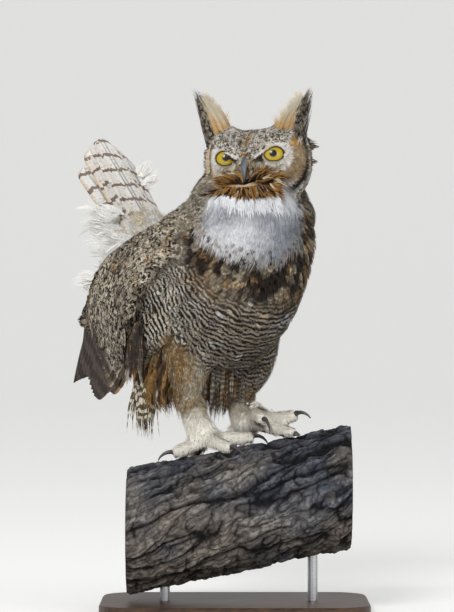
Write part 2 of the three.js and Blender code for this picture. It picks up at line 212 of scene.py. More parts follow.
# shader maths
class Signal:                    # one socket, with arithmetic that adds Math nodes
    def __init__(self, tree, socket=None):
        self.tree = tree
        self.socket = socket

    def node(self, kind, settings=None, inputs=None, output=0):
        made = self.tree.nodes.new(kind)
        for key, value in (settings or {}).items():
            if key == "stops":
                ramp = made.color_ramp
                while len(ramp.elements) < len(value):
                    ramp.elements.new(0.99)
                for element, (position, colour) in zip(ramp.elements, value):
                    element.position = position
                    element.color = (*colour, 1)
            else:
                setattr(made, key, value)
        for key, value in (inputs or {}).items():
            if isinstance(value, Signal):
                self.tree.links.new(value.socket, made.inputs[key])
            else:
                made.inputs[key].default_value = value
        return Signal(self.tree, made.outputs[output])

    def math(self, operation, first, second=0.0, clamp=False):
        return self.node("ShaderNodeMath", {"operation": operation, "use_clamp": clamp},
                         {0: first, 1: second})

    def __add__(self, other):
        return self.math("ADD", self, other)

    def __sub__(self, other):
        return self.math("SUBTRACT", self, other)

    def __rsub__(self, other):
        return self.math("SUBTRACT", other, self)

    def __mul__(self, other):
        return self.math("MULTIPLY", self, other)

    __radd__ = __add__
    __rmul__ = __mul__

    def sine(self):
        return self.math("SINE", self)

    def size(self):
        return self.math("ABSOLUTE", self)

    def clamp(self):
        return self.math("ADD", self, 0.0, True)

    def larger(self, other):
        return self.math("MAXIMUM", self, other)

    def step(self, low, high):   # 0 below low, 1 above high
        return self.node("ShaderNodeMapRange", {"interpolation_type": "SMOOTHSTEP"},
                         {"Value": self, "From Min": low, "From Max": high})

    def mix(self, other, factor, kind="MIX"):    # colours
        inputs = {0: factor, 6: self, 7: other if isinstance(other, Signal) else (*other, 1)}
        return self.node("ShaderNodeMix", {"data_type": "RGBA", "blend_type": kind}, inputs, 2)

    def paint(self, tint, factor):               # a display colour over this one
        return self.mix(tuple(paintColour(*tint)), factor)

    def shaded(self, tone):
        return self.mix(self.combine(tone, tone, tone), 1.0, "MULTIPLY")

    def ramp(self, *stops):      # display colours along the signal
        stops = [(at, paintColour(*tint)) for at, tint in stops]
        return self.node("ShaderNodeValToRGB", {"stops": stops}, {0: self})

    def parts(self):
        return [self.node("ShaderNodeSeparateXYZ", None, {0: self}, i) for i in range(3)]

    def combine(self, x, y, z):
        return self.node("ShaderNodeCombineXYZ", None, {0: x, 1: y, 2: z})

    def attribute(self, name, output="Vector"):
        return self.node("ShaderNodeAttribute", {"attribute_name": name}, None, output)

    def noise(self, vector, scale, detail=2.0, rough=0.5):
        return self.node("ShaderNodeTexNoise", None,
                         {"Vector": vector, "Scale": scale, "Detail": detail, "Roughness": rough})

    def place(self):
        return self.node("ShaderNodeTexCoord", None, None, "Object")

    def spread(self, scale):     # object coordinates stretched by a vector
        return self.node("ShaderNodeVectorMath", {"operation": "MULTIPLY"}, {0: self, 1: scale})

    def bump(self, height, strength, distance):
        return self.node("ShaderNodeBump", None, {"Strength": strength, "Distance": distance,
                                                  "Height": height}, "Normal")


def newMaterial(name, fixed, changing):      # changing gives a dictionary of sockets from a bench Signal
    material = bpy.data.materials.new(name)
    material.use_nodes = True
    tree = material.node_tree
    shader = tree.nodes["Principled BSDF"]
    for key, value in fixed.items():
        shader.inputs[key].default_value = value
    for key, value in changing(Signal(tree)).items():
        tree.links.new(value.socket, shader.inputs[key])
    return material


# plumage finish
plumageLook = {"Roughness": 0.78, "Specular IOR Level": 0.14, "Sheen Weight": 0.03, "Sheen Roughness": 0.5}
bodyMarks = {"thin": -0.3, "thick": 0.05, "speckAlong": 1.8, "speckAcross": 1.5, "jumble": 0.4, "ripple": 1.2,
             "uneven": 1.8, "marks": (0.48, 0.53)}
bladeMarks = {"thin": 0.72, "thick": 0.92, "speckAlong": 9.0, "speckAcross": 2.2, "jumble": 0.1,
              "ripple": 0.2, "uneven": 0.4, "marks": (0.55, 0.6)}
flightMarks = {**bladeMarks, "thin": -0.2, "thick": 0.35, "jumble": 0.05, "marks": (0.5, 0.57)}
grainScale = {"ripple": 42.0, "quiver": 130.0, "break": 75.0, "cloud": 175.0, "fleck": 230.0, "wear": 420.0}


def plumageNodes(bench, look=bodyMarks):
    tint = bench.attribute("tint", "Color")
    ink = bench.attribute("ink", "Color")
    barred, mottled, streaked = bench.attribute("pattern").parts()
    along, across, chance = bench.attribute("vane").parts()
    lie = bench.attribute("lie", "Fac")
    place, scale = bench.place(), grainScale
    ripple = (bench.noise(place, scale["ripple"], 2.0) - 0.5) * 1.6 \
        + (bench.noise(place, scale["quiver"], 1.0) - 0.5) * 0.6
    edge = bench.noise(bench.combine(lie * 1.3, across * 2.0, chance * 41.0), 1.0, 2.0) - 0.5
    wave = ((lie + ripple * look["ripple"] + edge * 0.45 + chance * look["jumble"]) * (2 * math.pi)).sine()
    wave = wave + (bench.noise(place, scale["break"], 2.0) - 0.5) * look["uneven"]
    bars = wave.step(look["thin"], look["thick"]) * barred
    speck = bench.combine(lie * look["speckAlong"], across * look["speckAcross"], chance * 29.0)
    speck = bench.noise(speck, 1.0, 3.0, 0.6)
    cloudy = bench.noise(place, scale["cloud"], 3.0, 0.65)
    mottle = (speck * 0.55 + cloudy * 0.45).step(*look["marks"]) * mottled
    fleck = bench.noise(place, scale["fleck"], 2.0, 0.6).step(0.53, 0.59) * mottled * 0.9
    lighter = tint.mix((1.9, 1.85, 1.78), 1.0, "MULTIPLY").mix((0.78, 0.76, 0.72), 1.0, "DARKEN")
    shaft = (1.0 - across.size() * 7.0).clamp() * (1.0 - along * 0.5) * streaked
    dark = bars.larger(mottle).larger(shaft).clamp()
    tone = (chance - 0.5) * (mottled * 0.2 + 0.06) + 1.0
    colour = tint.shaded(tone).mix(lighter, fleck * (1.0 - bars)).mix(ink, dark)
    colour = colour.shaded(bench.noise(place, scale["wear"], 2.0).step(0.25, 0.8) * 0.18 + 0.89)
    barbs = bench.noise(bench.combine(along * 6.0, across * 34.0, chance * 13.0), 1.0, 1.0)
    return {"Base Color": colour, "Normal": bench.bump(barbs, 0.25, 0.0005)}


plumage = newMaterial("plumage", plumageLook, plumageNodes)
bladePlumage = newMaterial("blade_plumage", plumageLook, lambda bench: plumageNodes(bench, bladeMarks))
flightPlumage = newMaterial("flight_plumage", plumageLook, lambda bench: plumageNodes(bench, flightMarks))

# camera
cameraLook = {"target": (0, 0, 179), "distance": 3500, "lens": 171.7}
cameraData = bpy.data.cameras.new("camera")
cameraData.sensor_width = 36
cameraData.lens = cameraLook["lens"]
cameraData.clip_start, cameraData.clip_end = 0.1, 60
camera = newObject("camera", cameraData)
camera.location = (np.array(cameraLook["target"]) - branchAside * cameraLook["distance"] + owlOrigin) / 1000
camera.rotation_euler = (math.pi / 2, 0, branchTurn)
bpy.context.scene.camera = camera

# skin
fleshNodes = {
    "head": "head", "facial_disc_right": "disc", "facial_disc_left": "disc", "chin_ruff": "ruff",
    "throat_bib": "bib", "neck": "neck", "trunk": "trunk", "tail_coverts": "covert",
    "wing_right": "wing", "wing_left": "wing", "thigh_right": "thigh", "thigh_left": "thigh",
    "shank_right": "shank", "shank_left": "shank",
    **{f"toe_{side}_{toe}": "toe" for side in ("right", "left")
       for toe in ("inner", "middle", "outer", "hind")},
}
coatDepth = {"head": 4.0, "disc": 3.0, "ruff": 7.0, "bib": 9.0, "neck": 8.0, "trunk": 9.0, "covert": 15.0,
             "wing": 6.0, "thigh": 8.0, "shank": 3.0, "toe": 1.0}
skinLook = {"voxel": 0.0026, "swell": 0.6, "socket": 12.4, "crown": 6, "earRoot": 7, "headDepth": 5.5,
            "backDrop": 0.68, "sinkSteps": 8}
smoothing = {"labels": 5, "surface": 3, "depth": 6, "back": 3, "normals": 4, "lie": 14}      # rounds of relax
labels = sorted(coatDepth)
sides = {"right": -1, "left": 1}
eyes = {"right": onHead((-30, -34, 5)), "left": onHead((28.8, -34, 5))}
eyeRadius = 14.5
headGaze = np.array([0.345, -0.938, 0.13])
gaze = unit(fromHead(headGaze))


def readMesh(mesh):
    mesh.calc_loop_triangles()
    points = np.empty(len(mesh.vertices) * 3, np.float32)
    mesh.vertices.foreach_get("co", points)
    faces = np.empty(len(mesh.loop_triangles) * 3, np.int32)
    mesh.loop_triangles.foreach_get("vertices", faces)
    return points.reshape(-1, 3), faces.reshape(-1, 3)


def nodeMesh(name):              # a CAD node's merged points and triangles, in owl millimetres
    points, faces = readMesh(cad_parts[name].data)
    points, where = np.unique(np.round(points * 1000 - owlOrigin, 3), axis=0, return_inverse=True)
    return points, where.ravel()[faces]


def normalsOf(points, faces):
    a, b, c = (points[faces[:, i]] for i in range(3))
    areas = np.cross(b - a, c - a)
    return unit(np.stack([np.bincount(faces.ravel(), np.repeat(area, 3), len(points)) for area in areas.T],
                         1))


covertRoot, covertTip = np.array([0, 130, 180.0]), np.array([0, 262, 356.0])
covertRun, covertLength = unit(covertTip - covertRoot), np.linalg.norm(covertTip - covertRoot)


def buildSkin():
    parts, owners = [], []
    for name, label in fleshNodes.items():
        points, faces = nodeMesh(name)
        out = normalsOf(points, faces)
        if name == "tail_coverts":   # thins out along the tail, where only down is left
            along = ((points - covertRoot) @ covertRun / covertLength)[:, None]
            middle = covertRoot + covertRun * covertLength * along
            shorter = middle - covertRun * covertLength * np.maximum(along - 0.5, 0)
            aside = points - covertRoot - covertRun * covertLength * along
            points = shorter + aside * (1 - 0.8 * ease(0.2, 0.5, along))
        parts.append((points + out * skinLook["swell"], faces))
        owners += [labels.index(label)] * len(faces)
    for centre in eyes.values():     # a smaller ball closes each socket behind the eye
        turn = np.linspace(0, math.pi, 16)
        path = centre + np.outer(-np.cos(turn) * skinLook["socket"], [0, 0, 1])
        parts.append(tube(path, np.maximum(np.sin(turn) * skinLook["socket"], 0.05), 24))
        owners += [labels.index("disc")] * len(parts[-1][1])
    points, faces = together(parts)
    source = bpy.data.meshes.new("flesh")
    source.from_pydata((points / 1000).tolist(), [], faces.tolist())
    holder = newObject("flesh", source)
    remesh = holder.modifiers.new("voxels", "REMESH")
    remesh.mode = "VOXEL"
    remesh.voxel_size = skinLook["voxel"]
    made = bpy.data.meshes.new_from_object(holder.evaluated_get(bpy.context.evaluated_depsgraph_get()))
    shell, shellFaces = readMesh(made)
    shell = shell.astype(float) * 1000
    bpy.data.objects.remove(holder)
    bpy.data.meshes.remove(source)
    bpy.data.meshes.remove(made)
    tree = BVHTree.FromPolygons(points.tolist(), faces.tolist())
    nearest = [tree.find_nearest(p)[2] for p in shell.tolist()]
    return shell, shellFaces, np.array(owners)[nearest]


skinPoints, skinFaces, skinLabel = buildSkin()
pairs = np.concatenate([skinFaces[:, [0, 1]], skinFaces[:, [1, 2]], skinFaces[:, [2, 0]]])
pairs = np.unique(np.sort(pairs, 1), axis=0)
degree = np.bincount(pairs.ravel(), minlength=len(skinPoints))[:, None]


def neighbourSum(values):
    first, second = pairs.T
    return np.stack([np.bincount(first, values[second, i], len(values))
                     + np.bincount(second, values[first, i], len(values)) for i in range(values.shape[1])], 1)


def relax(values, rounds, share=0.5):
    for _ in range(rounds):
        values = values * (1 - share) + neighbourSum(values) / degree * share
    return values


weights = relax(np.eye(len(labels))[skinLabel], smoothing["labels"])
surface = relax(skinPoints, smoothing["surface"])
depth = relax((weights @ np.array([coatDepth[label] for label in labels]))[:, None], smoothing["depth"])
headPlace = headLocal(surface)
x, y, z = headPlace.T
heads, wings, trunks = (weights[:, labels.index(label)] for label in ("head", "wing", "trunk"))
crownTop = skinLook["crown"] * heads * ease(28, 12, np.abs(x)) * ease(24, 38, z) \
    + skinLook["earRoot"] * heads * ease(13, 5, np.hypot(x - 32, y + 18)) * ease(20, 34, z)
sunk = depth + crownTop[:, None]
for _ in range(skinLook["sinkSteps"]):   # in small steps so that thin places don't fold
    surface = relax(surface - normalsOf(surface, skinFaces) * sunk / skinLook["sinkSteps"], 1, 0.3)
backLine = np.interp(surface[:, 1], [0, 32, 83, 148, 200], [306, 284, 266, 242, 206])
over = np.maximum(surface[:, 2] - backLine + 12, 0) * (wings + trunks) * ease(8, 34, surface[:, 1])
pressed = relax(over[:, None], smoothing["back"])[:, 0]
surface[:, 2] -= pressed * skinLook["backDrop"]      # down to a flat slope
crownSides = heads * ease(20, 32, np.abs(x)) * ease(20, 34, z) * ease(12, -4, y)
depth = depth[:, 0] + skinLook["headDepth"] * crownSides
skinNormals = unit(relax(normalsOf(surface, skinFaces), smoothing["normals"]))
share = {label: weights[:, i] for i, label in enumerate(labels)}
print("skin", len(surface), "points")

# lie of the coat
wingStations = np.array([   # upper edge, lower edge and half thickness, for the left wing
    [66, -40, 270, 76, -46, 244, 10], [56, 13, 292, 96, -20, 232, 17], [48, 74, 292, 101, 18, 212, 20],
    [58, 108, 284, 101, 44, 182, 18], [68, 140, 260, 98, 60, 152, 16], [76, 166, 224, 93, 78, 128, 13],
    [74, 198, 180, 85, 94, 104, 10], [66, 220, 134, 73, 138, 78, 6], [58, 254, 88, 60, 196, 64, 1.5]], float)
wingMiddle = (wingStations[:, :3] + wingStations[:, 3:6]) / 2
billTip = onHead((0, -60, -20))
billRoot = onHead((0, -48, 2))


def guide(points, normals):      # which way the coat lies
    side = np.sign(points[:, :1])
    local = headLocal(points)
    backward = ease(0, 34, local[:, 1:2])
    headFlow = unit(points - billRoot) * (1 - backward) + np.array([0.0, 0.25, -1.0]) * backward
    eye = np.where(local[:, :1] < 0, eyes["right"], eyes["left"])
    front = columns(points[:, 0] * 0.012, -0.05, -1.0)
    top = ease(0.0, 0.6, normals[:, 2:3] + normals[:, 1:2] * 0.5)
    swing = math.radians(96) * ease(-105, 5, points[:, 1:2]) * ease(0.05, 0.55, np.abs(normals[:, :1]))
    body = front * np.cos(swing) + np.array([0, 1.0, 0]) * np.sin(swing)
    body = unit(body) * (1 - top) + np.array([0, 1.0, -0.3]) * top
    body = body + np.array([0, 0.9, -0.5]) * ease(20, 90, points[:, 1:2]) * (1 - top)
    mirrored = np.concatenate([np.abs(points[:, :1]), points[:, 1:]], 1)
    nearest = np.argmin(np.linalg.norm(mirrored[:, None] - wingMiddle[None], axis=2), axis=1)
    wing = unit(np.gradient(wingMiddle, axis=0)[nearest])
    wing[:, :1] *= side
    leg = np.array([0, 0.12, -1.0])
    foot = points - np.where(side < 0, [-35, 0, 40], [35, 5, 58])
    flow = {"head": headFlow, "disc": unit(points - eye), "ruff": unit(points - billTip),
            "bib": front + np.array([0, -0.1, 0]), "neck": np.array([0, 0.35, -1.0]), "trunk": body,
            "covert": np.array([0, 0.61, 0.79]), "wing": wing, "thigh": leg, "shank": leg, "toe": unit(foot)}
    return flat(sum(unit(flow[label]) * share[label][:, None] for label in labels), normals)


lieField = guide(surface, skinNormals)
for _ in range(smoothing["lie"]):
    lieField = flat(relax(lieField, 1), skinNormals)

# markings
palette = {
    "belly": (164, 153, 137), "flank": (194, 188, 174), "mantle": (184, 171, 152), "neck": (176, 166, 150),
    "wingDark": (118, 106, 95), "white": (234, 233, 229), "ochre": (190, 146, 82), "cream": (216, 205, 182),
    "crown": (192, 187, 177), "disc": (168, 145, 112), "ruff": (138, 96, 48), "black": (32, 27, 25),
    "thigh": (150, 116, 70), "foot": (248, 244, 233), "breast": (96, 77, 60), "bib": (222, 223, 226),
    "shade": (140, 144, 153), "primary": (70, 60, 54), "sole": (92, 62, 52), "gold": (172, 130, 70),
}
inks = {"belly": (27, 21, 18), "mantle": (32, 26, 22), "soft": (150, 138, 120), "brown": (96, 74, 54),
        "ruff": (44, 27, 16), "thigh": (60, 42, 28), "crown": (72, 62, 52)}
palette = {key: paintColour(*value) for key, value in palette.items()}
inks = {key: paintColour(*value) for key, value in inks.items()}


def fade(first, second, amount):
    return first * (1 - amount[:, None]) + second * amount[:, None]


def layers(base, *steps):        # tones laid one over another, each with its amount
    for tone, amount in steps:
        base = fade(base, tone, amount)
    return base


breastMiddle = np.array([-19, -100, 288])


def browHeight(x):               # the line of the white brow, in head millimetres
    return 4 + 11.5 * ease(8, 33, x) - 6 * ease(42, 50, x)


def paintSkin(points, normals):
    count = len(points)
    across, back, high = points.T
    local = headLocal(points)
    outward = np.sign(across) * normals[:, 0]
    above = ease(0.0, 0.55, normals[:, 2] + normals[:, 1] * 0.6)
    flank = ease(0.45, 0.85, outward) * ease(-70, -10, back)
    tint, ink, pattern, period = {}, {}, {}, {}

    def lay(label, tintNow, inkNow, patternNow, periodNow):
        tint[label] = np.broadcast_to(tintNow, (count, 3))
        ink[label] = np.broadcast_to(inkNow, (count, 3))
        pattern[label] = np.stack([np.zeros(count) + value for value in patternNow], 1)
        period[label] = periodNow

    # trunk: blotched breast round the bib, barred belly, whiter flank, mottled back
    below = np.linalg.norm(points - breastMiddle, axis=1)
    band = ease(112, 78, below + 6 * cloud(points, 14, 21)) * (1 - above)
    blots = cloud(points * np.array([1, 1, 0.7]), 6.2, 5)
    spots = ease(0.04, 0.14, blots) * ease(104, 90, below) * (1 - above)
    buff = ease(-0.15, -0.3, blots) * ease(104, 84, below) * (1 - above)
    gold = ease(0.15, 0.4, cloud(points, 11, 31)) * ease(110, 85, below)
    ground = layers(palette["belly"], (palette["flank"], flank), (palette["breast"], band * 0.85))
    # random tone, and darker towards the bird's left side: painted shade
    ground = ground * (0.9 + 0.38 * cloud(points, 13, 12) - 0.42 * ease(-45, 30, across))[:, None]
    rear = ease(70, 115, back) * ease(175, 150, high)
    warm = ease(0.15, 0.5, cloud(points, 15, 44)) * 0.22 * (1 - above)
    pale = ease(0.35, 0.6, cloud(points, 12, 51)) * 0.4 * (1 - above) * (1 - band)
    ground = layers(ground, (palette["cream"], rear * 0.8), (palette["ochre"] * 0.8, gold * 0.3),
                    (palette["cream"] * 0.7, buff * 0.6), (palette["ochre"], warm), (palette["white"], pale),
                    (palette["black"], spots * 0.95))
    lay("trunk", fade(ground, palette["mantle"], above), fade(inks["belly"], inks["mantle"], above),
        (0.98 * (1 - above) * (1 - band * 0.75), 0.06 + 0.94 * np.maximum(above, band * 0.6), 0.25 * above),
        6.1 + 0.7 * flank)
    # darker towards the back (the nape's own colour) and towards the bird's left side (painted shade); the
    # next line darkens the left side further: painted shade
    neck = fade(palette["neck"], palette["wingDark"], ease(-10, 40, back + across))
    lay("neck", neck * (1 - 0.6 * ease(0, 34, across))[:, None], inks["mantle"], (0.1, 0.8, 0.2), 5.0)
    # the white bib painted grey towards the bottom and the bird's left side: painted shade, with a little
    # random tone
    bibShade = ease(332, 262, high - 0.8 * across) + 0.2 * cloud(points, 16, 8)
    # painted shadow in the hollow under the upper locks
    bibShade = bibShade + 0.7 * np.exp(-((high - 296) / 8) ** 2)       # the hollow under the upper locks
    # a brown spot under the chin
    brownSpot = 0.5 * ease(1, 0.3, np.hypot((local[:, 0] + 6) / 13, (local[:, 2] + 43) / 8))
    lay("bib", layers(palette["bib"], (palette["shade"], np.clip(bibShade, 0, 1)), (inks["brown"], brownSpot)),
        inks["soft"], (0, 0.02, 0), 8.0)
    wing = palette["mantle"] * 0.88 * (1 + 0.35 * cloud(points, 20, 14))[:, None]
    lay("wing", layers(wing, (palette["wingDark"], ease(230, 150, high)),
                       (palette["ochre"], ease(0.55, 0.7, cloud(points, 13, 3)) * 0.4)), inks["mantle"],
        (0.15, 1.0, 0.4), 7.0)
    near = ease(215, 190, high) * ease(-0.2, 0.4, normals @ np.array([0, -0.79, 0.61]))
    lay("covert", fade(palette["white"], palette["cream"], near * 0.7), inks["brown"],
        (0.4 * near, 0.06 + 0.3 * near, 0), 13.0)
    outer = ease(0.4, 0.85, outward + (back - 20) * 0.009)
    front = ease(158, 120, high) * (across < 0) * (1 - outer)
    patches = ease(172, 140, high) * ease(0.0, 0.3, cloud(points, 12, 17)) * 0.7
    lay("thigh", layers(palette["flank"] * 0.75, (palette["cream"], front * 0.9), (palette["gold"], patches),
                        (palette["thigh"], outer)), fade(inks["belly"], inks["thigh"], outer),
        (0.95 - 0.6 * outer - 0.7 * front, 0.2 + 0.5 * outer + 0.25 * front, 0.2), 6.0)
    upper = ease(38, 66, high)
    lay("shank", fade(palette["foot"], palette["cream"], upper), inks["brown"],
        (0.25 * upper, 0.65 * upper, 0), 7.0)
    lay("toe", fade(palette["foot"], palette["sole"], ease(0.45, 0.75, -normals[:, 2])), inks["soft"],
        (0, 0.05, 0), 8.0)
    lay("ruff", fade(inks["ruff"] * 1.6, palette["bib"], ease(-35, -40, local[:, 2])), inks["ruff"],
        (0, 0, 0), 8.0)
    # head: mottled crown with an ochre forehead
    aside, y, z = local.T
    x = np.abs(aside)
    fore = ease(16, 5, np.hypot(x, (z - 19) * 1.3)) * ease(-10, -30, y)
    lay("head", layers(palette["crown"], (palette["wingDark"], ease(-10, 30, y)),
                       (palette["ochre"], fore * 0.7)), inks["crown"], (0.25, 1.0, 0.05), 3.4)
    # face: pale round the eye, tawny outside it, a black rim and white brows
    eyeGap = np.hypot(x - 30, z - 5)
    oval = np.hypot((x - 27) / np.where(aside > 0, 33, 25), (z - 2) / 39)
    browLine = browHeight(x)
    left = ease(-8, 8, aside)
    streaks = ease(0.0, 0.3, cloud(local * np.array([0.35, 1, 1]), 2.2, 41))
    rim = ease(0.88, 0.93, oval) * ease(26, 34, x) * ease(34, 26, z)
    # the cream is lighter on the bird's right side than on its left: painted light
    face = layers(palette["cream"] * (1.25 - 0.25 * left)[:, None],
                  (palette["disc"], ease(14, 18, eyeGap) * ease(30, 38, x) * (0.15 + 0.75 * left)),
                  (palette["ochre"], ease(40, 45, x) * ease(-24, -14, z) * (1 - left) * 0.6),
                  (palette["disc"] * 0.9, ease(0, -5, z) * ease(12, 20, x) * left * 0.8),
                  (inks["brown"], streaks * ease(14, 18, eyeGap) * ease(12, 30, x) * (0.08 + 0.5 * left)),
                  (palette["ochre"], ease(12, 4, np.hypot(x - 47, z - 21)) * 0.9),
                  (palette["white"], ease(18, 10, x) * ease(12, 4, z)),
                  (palette["white"], ease(3.6, 1.8, np.abs(z - browLine)) * ease(46, 42, x)),
                  (palette["white"], ease(3.8, 1.8, np.abs(eyeGap - 14.5)) * ease(24, 34, x) * 0.8),
                  # painted shade at the inner corner of each eye
                  (inks["crown"], ease(6.5, 3, np.hypot((x - 15) * 0.8, (z - 3) * 1.3)) * 0.8),
                  (palette["ruff"], ease(7, 3, np.hypot(x - 20, (z + 11) * 1.3)) * 0.8),
                  (palette["white"], ease(-20, -28, z) * ease(18, 26, x)), (palette["black"], rim))
    lay("disc", face, inks["brown"], (0, 0.3 * (1 - rim) * ease(14, 24, x), 0), 3.0)
    under = np.maximum(ease(browLine + 2.4, browLine + 1.2, z), ease(43, 47, x))
    faceMask = ease(1.06, 1.03, oval) * ease(-3, -9, y) * under
    faceMask = np.maximum(faceMask, ease(26, 20, x) * under * ease(-28, -34, y) * (z > -40))
    mixed = []
    mask = faceMask[:, None]
    for part in (tint, ink, pattern):
        part["head"] = part["head"] * (1 - mask) + part["disc"] * mask
        part["disc"] = part["head"]
        mixed.append(sum(part[label] * share[label][:, None] for label in labels))
    cycle = sum(period[label] * share[label] for label in labels)
    return *mixed, cycle, faceMask * (share["head"] + share["disc"] > 0.5)


skinTint, skinInk, skinPattern, skinPeriod, faceMask = paintSkin(surface, skinNormals)


phaseRounds, phaseClose = 500, 1e-4


def solvePhase():                # bars run across the lie: the phase whose slope along the lie is 1 / period
    first, second = pairs.T
    wanted = ((lieField[first] + lieField[second]) / 2 * (surface[second] - surface[first])).sum(1) \
        * 2 / (skinPeriod[first] + skinPeriod[second])
    total = np.bincount(second, wanted, len(surface)) - np.bincount(first, wanted, len(surface))

    def apply(x):
        gap = x[second] - x[first]
        return np.bincount(second, gap, len(x)) - np.bincount(first, gap, len(x))

    x = -surface[:, 2] / 6
    rest = total - apply(x)
    step, square = rest.copy(), rest @ rest
    for _ in range(phaseRounds):
        moved = apply(step)
        amount = square / max(step @ moved, 1e-12)
        x = x + step * amount
        rest = rest - moved * amount
        newSquare = rest @ rest
        if newSquare < phaseClose:
            break
        step = rest + step * newSquare / square
        square = newSquare
    return x


skinPhase = solvePhase()
print("markings laid")

marks = {"tint": skinTint * 0.75, "ink": skinInk, "pattern": skinPattern * np.array([1, 1, 0]),
         "lie": skinPhase, "vane": np.tile([0.5, 0.6, 0.5], (len(surface), 1))}
makePiece("owl_skin", surface, skinFaces, marks, standsFor=list(fleshNodes))
skinTree = BVHTree.FromPolygons(surface.tolist(), skinFaces.tolist())


def settle(points):              # nearest skin place, its triangle's corners and their weights
    hits = [skinTree.find_nearest(p) for p in points.tolist()]
    place = np.array([hit[0] for hit in hits])
    corners = skinFaces[[hit[2] for hit in hits]]
    a, b, c = (surface[corners[:, i]] for i in range(3))
    whole = np.maximum(np.linalg.norm(np.cross(b - a, c - a), axis=1), 1e-9)
    wa = np.linalg.norm(np.cross(b - place, c - place), axis=1) / whole
    wb = np.linalg.norm(np.cross(c - place, a - place), axis=1) / whole
    parts = np.stack([wa, wb, np.maximum(1 - wa - wb, 0)], 1)
    return place, corners, parts / parts.sum(1, keepdims=True)


def sample(values, corners, parts):
    if values.ndim == 1:
        return (values[corners] * parts).sum(1)
    return (values[corners] * parts[..., None]).sum(1)


thinning = {"density": 7, "rounds": 6}
cellPrimes = np.array([73856093, 19349663, 83492791])


def scatter(faceChosen, spacing):    # even random spots on the chosen faces
    chosen = np.flatnonzero(faceChosen)
    a, b, c = (surface[skinFaces[chosen, i]] for i in range(3))
    area = np.linalg.norm(np.cross(b - a, c - a), axis=1) / 2
    count = int(area.sum() / spacing ** 2 * thinning["density"])
    face = dice.choice(len(chosen), count, p=area / area.sum())
    u, v = dice.random((2, count))
    u, v = np.where(u + v > 1, 1 - u, u)[:, None], np.where(u + v > 1, 1 - v, v)[:, None]
    points = a[face] + (b[face] - a[face]) * u + (c[face] - a[face]) * v
    for _ in range(thinning["rounds"]):      # one spot is kept in each cell of a shifted grid
        cell = np.floor(points / spacing + dice.random(3)).astype(np.int64)
        key = (cell * cellPrimes).sum(1)
        points = points[np.sort(np.unique(key, return_index=True)[1])]
    return points


# feathers
patchSize = 0.0015               # half the side of a tuft's bake patch


def featherMarks(spots, u, v, chance, spine):    # the attributes and bake patches of every feather
    def spreadOut(values):
        return np.repeat(values, len(u) // len(chance), axis=0)

    length = np.linalg.norm(np.diff(spine, axis=1), axis=2).sum(1)
    marks = {key: spreadOut(spots[key]) for key in ("tint", "ink", "pattern")}
    marks["vane"] = np.stack([u, v, spreadOut(chance)], 1)
    marks["lie"] = spreadOut(spots["phase"]) + u * spreadOut(length / spots["period"])
    return marks, spreadOut(spots["patch"]) + np.stack([v, u * 2 - 1], 1) * patchSize


def fans(spine, up, width, spots, look):         # soft feathers, each a fan of fine strips
    count, levels = spine.shape[:2]
    strips = look["strips"]
    reach = 1 - look["trim"] * np.linspace(-1, 1, strips) ** 2
    reach = np.clip(reach + dice.normal(0, look["rag"], (count, strips)), 0.3, 1.12)
    aside = np.linspace(-1, 1, strips) + dice.normal(0, 0.35 / strips, (count, strips))
    level = np.linspace(0, 1, levels)
    spreadAt = np.interp(level, np.linspace(0, 1, len(look["spread"])), look["spread"])
    taper = np.interp(level, [0, 0.3, 0.7, 0.9, 1], [0.75, 1, 0.9, 0.55, 0])
    f = level * reach[..., None]                     # feather, strip, level
    t = f * (levels - 1)
    i = np.clip(t.astype(int), 0, levels - 2)
    w = (t - i)[..., None]
    which = np.arange(count)[:, None, None]
    tangent = unit(np.gradient(spine, axis=1))
    across = unit(np.cross(up, tangent))

    def along(values):
        return values[which, i] * (1 - w) + values[which, i + 1] * w

    side, lift = along(across), along(up)
    lean = aside[..., None] * spreadAt
    lean = lean + dice.normal(0, look["rag"] * 0.5, (count, strips))[..., None] * level
    half = (width / 2)[:, None, None]
    middle = along(spine) + side * (lean * half)[..., None] \
        - lift * (look["cup"] * lean ** 2 * half)[..., None] \
        + lift * (dice.normal(0, look["fluff"], (count, strips))[..., None] * level ** 2 * half)[..., None]
    halfWidth = half / strips * look["fine"] * 2 * taper / 2
    left, right = middle - side * halfWidth[..., None], middle + side * halfWidth[..., None]
    points = np.concatenate([np.stack([left[:, :, :-1], right[:, :, :-1]], 3).reshape(count, strips, -1, 3),
                             middle[:, :, -1:]], 2)
    rows = levels - 1
    strip = []
    for k in range(rows - 1):
        strip += [(2 * k, 2 * k + 1, 2 * k + 3), (2 * k, 2 * k + 3, 2 * k + 2)]
    strip.append((2 * rows - 2, 2 * rows - 1, 2 * rows))
    faces = repeatFaces(strip, count * strips, points.shape[2])
    u = np.concatenate([np.repeat(f[:, :, :-1], 2, 2), f[:, :, -1:]], 2)
    edge = (halfWidth / half)[..., None] * np.array([-1, 1])
    v = (lean[:, :, :-1, None] + edge[:, :, :-1]).reshape(count, strips, -1)
    v = np.concatenate([v, lean[:, :, -1:]], 2)
    return points.reshape(-1, 3), faces, *featherMarks(spots, u.ravel(), v.ravel(), dice.random(count), spine)


def unwrap(points, start, end):  # round a limb's own axis, and along it
    start, end = np.asarray(start, float), np.asarray(end, float)
    axis = unit(end - start)
    one = flat(np.array([[0.3, 0.9, 0.2]]), axis[None])[0]
    two = np.cross(axis, one)
    gap = points - start
    turn = np.arctan2(gap @ one, gap @ two) / (2 * math.pi) + 0.5
    along = np.clip(gap @ axis / np.linalg.norm(end - start), -0.2, 1.2) / 1.4 + 0.143
    return np.stack([0.01 + 0.98 * turn, along], 1)


